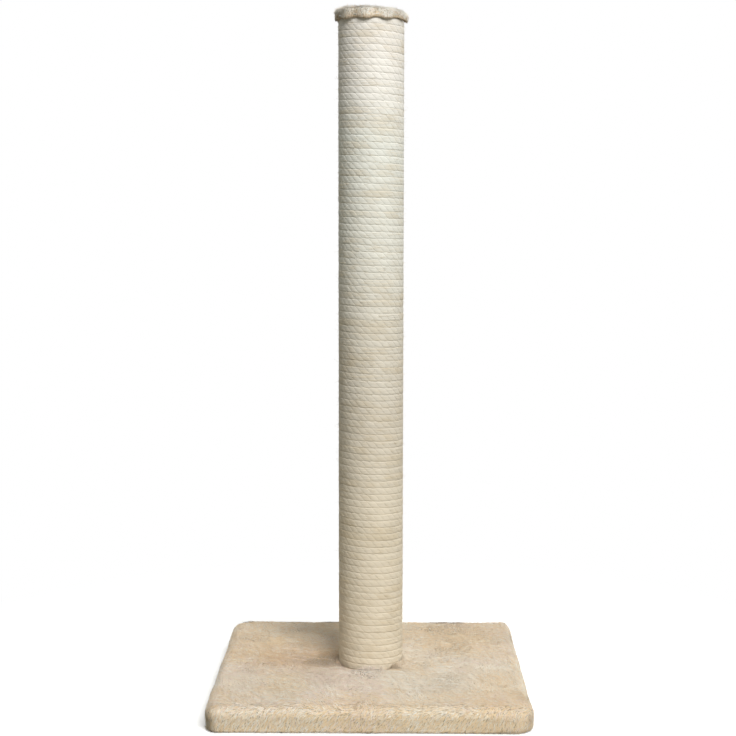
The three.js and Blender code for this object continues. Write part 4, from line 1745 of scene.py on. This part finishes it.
@dataclass(frozen=True)
class Lamp:
    """A square lamp that faces the middle of the post."""

    name: str
    azimuth: float  # degrees round from the front towards the right
    elevation: float  # degrees up from the post's middle
    size: float
    power: float  # watts
    distance: float = 4.0
    target: tuple[float, float, float] = (0, 0, 0.4)

    def hang(self) -> None:
        """Adds the lamp to the scene."""
        a, e = math.radians(self.azimuth), math.radians(self.elevation)
        way = Vector((math.sin(a) * math.cos(e), -math.cos(a) * math.cos(e), math.sin(e)))
        data = bpy.data.lights.new(self.name, "AREA")
        data.size, data.energy = self.size, self.power
        lamp = bpy.data.objects.new(self.name, data)
        lamp.location = Vector(self.target) + way * self.distance
        lamp.rotation_euler = (-way).to_track_quat("-Z", "Y").to_euler()
        bpy.context.scene.collection.objects.link(lamp)


@dataclass
class Studio:
    """A camera at the photo's viewing angle, soft lamps, and a pale floor that runs to white."""

    eye: tuple[float, float, float] = (0.0213, -2.0746, 0.648)
    pitch: float = math.radians(-6.01)
    heading: float = math.radians(0.70)
    roll: float = math.radians(-0.04)
    lens: float = 77.1
    ambient: Colour = (0.98, 1.0, 0.88)
    ambient_strength: float = 0.15
    floor_shade: Colour = (0.92, 0.92, 0.915)
    floor_bounce: Colour = (0.34, 0.33, 0.28)  # its colour to every ray but the eye's
    floor_lift: float = 0.36  # what the floor gives of itself to the eye
    fade_from: float = 0.3
    fade_to: float = 0.75
    floor_reach: float = 6.0
    lamps: tuple[Lamp, ...] = (
        Lamp("key", 24, 42, 1.8, 176),
        Lamp("back right", 142, 26, 2.4, 48),
        Lamp("back left", 212, 26, 2.4, 35),
    )

    def camera(self) -> None:
        """Sets the camera."""
        data = bpy.data.cameras.new("camera")
        data.lens, data.sensor_width = self.lens, 36.0
        camera = bpy.data.objects.new("camera", data)
        camera.location = self.eye
        camera.rotation_euler = (math.pi / 2 + self.pitch, self.roll, self.heading)
        bpy.context.scene.collection.objects.link(camera)
        bpy.context.scene.camera = camera

    def world(self) -> None:
        """White to the eye and to mirror-like rays, and a dim soft light to everything else."""
        shading = Shading(bpy.data.worlds.new("studio"))
        kinds = ("Camera", "Glossy", "Transmission")
        seen = sum(shading.node("LightPath", output=f"Is {kind} Ray") for kind in kinds)
        seen = seen.maths("MINIMUM", 1.0, seen)
        dim = {"Color": self.ambient, "Strength": self.ambient_strength}
        lighting = shading.node("Background", inputs=dim)
        shown = shading.node("Background", inputs={"Color": (1, 1, 1)})
        mixed = shading.joined("MixShader", seen, lighting, shown)
        shading.node("OutputWorld", inputs={"Surface": mixed})
        bpy.context.scene.world = shading.owner

    def floor(self) -> None:
        """A wide floor: it keeps the post's shadow near by, and is plain white further out."""
        shading = Shading("pale_floor")
        here = {"Vector": shading.place()}
        far = shading.node("VectorMath", {"operation": "LENGTH"}, here, "Value")
        rays = shading.node("LightPath", output="Is Camera Ray")
        away = shading.step(far, self.fade_from, self.fade_to) * rays
        seen = shading.mix(rays, self.floor_bounce, self.floor_shade)
        coat = shading.node("BsdfDiffuse", inputs={"Color": seen})
        glow = {"Color": (1, 1, 1), "Strength": self.floor_lift * rays}
        near = shading.joined("AddShader", coat, shading.node("Emission", inputs=glow))
        white = shading.node("Emission", inputs={"Color": (1, 1, 1), "Strength": 1.0})
        mixed = shading.joined("MixShader", away, near, white)
        shading.node("OutputMaterial", inputs={"Surface": mixed})
        corners = np.array([[-1, -1, 0], [1, -1, 0], [1, 1, 0], [-1, 1, 0]], float)
        sheet = Shape(corners * self.floor_reach, np.array([[0, 1, 2], [0, 2, 3]]))
        make_object("floor", sheet, shading.owner)

    def build(self) -> None:
        """Sets the whole studio."""
        self.camera()
        self.world()
        self.floor()
        for lamp in self.lamps:
            lamp.hang()
        bpy.context.scene.view_settings.view_transform = "Standard"


def main() -> None:
    """Builds the studio and the post, piece by piece."""
    logging.basicConfig(level=logging.INFO, format="%(message)s")
    Studio().build()
    zinc = ZincFinish().material()
    Carcass(
        {
            Slot.ZINC: zinc,
            Slot.CHIPBOARD: ChipboardFinish().material(),
            Slot.CARDBOARD: CardboardFinish().material(),
            Slot.TURNED_WOOD: TurnedWoodFinish().material(),
        }
    ).dress()
    PlushBase().build()
    SisalWinding().build()
    PlushCap().build()


if __name__ == "__main__":
    main()
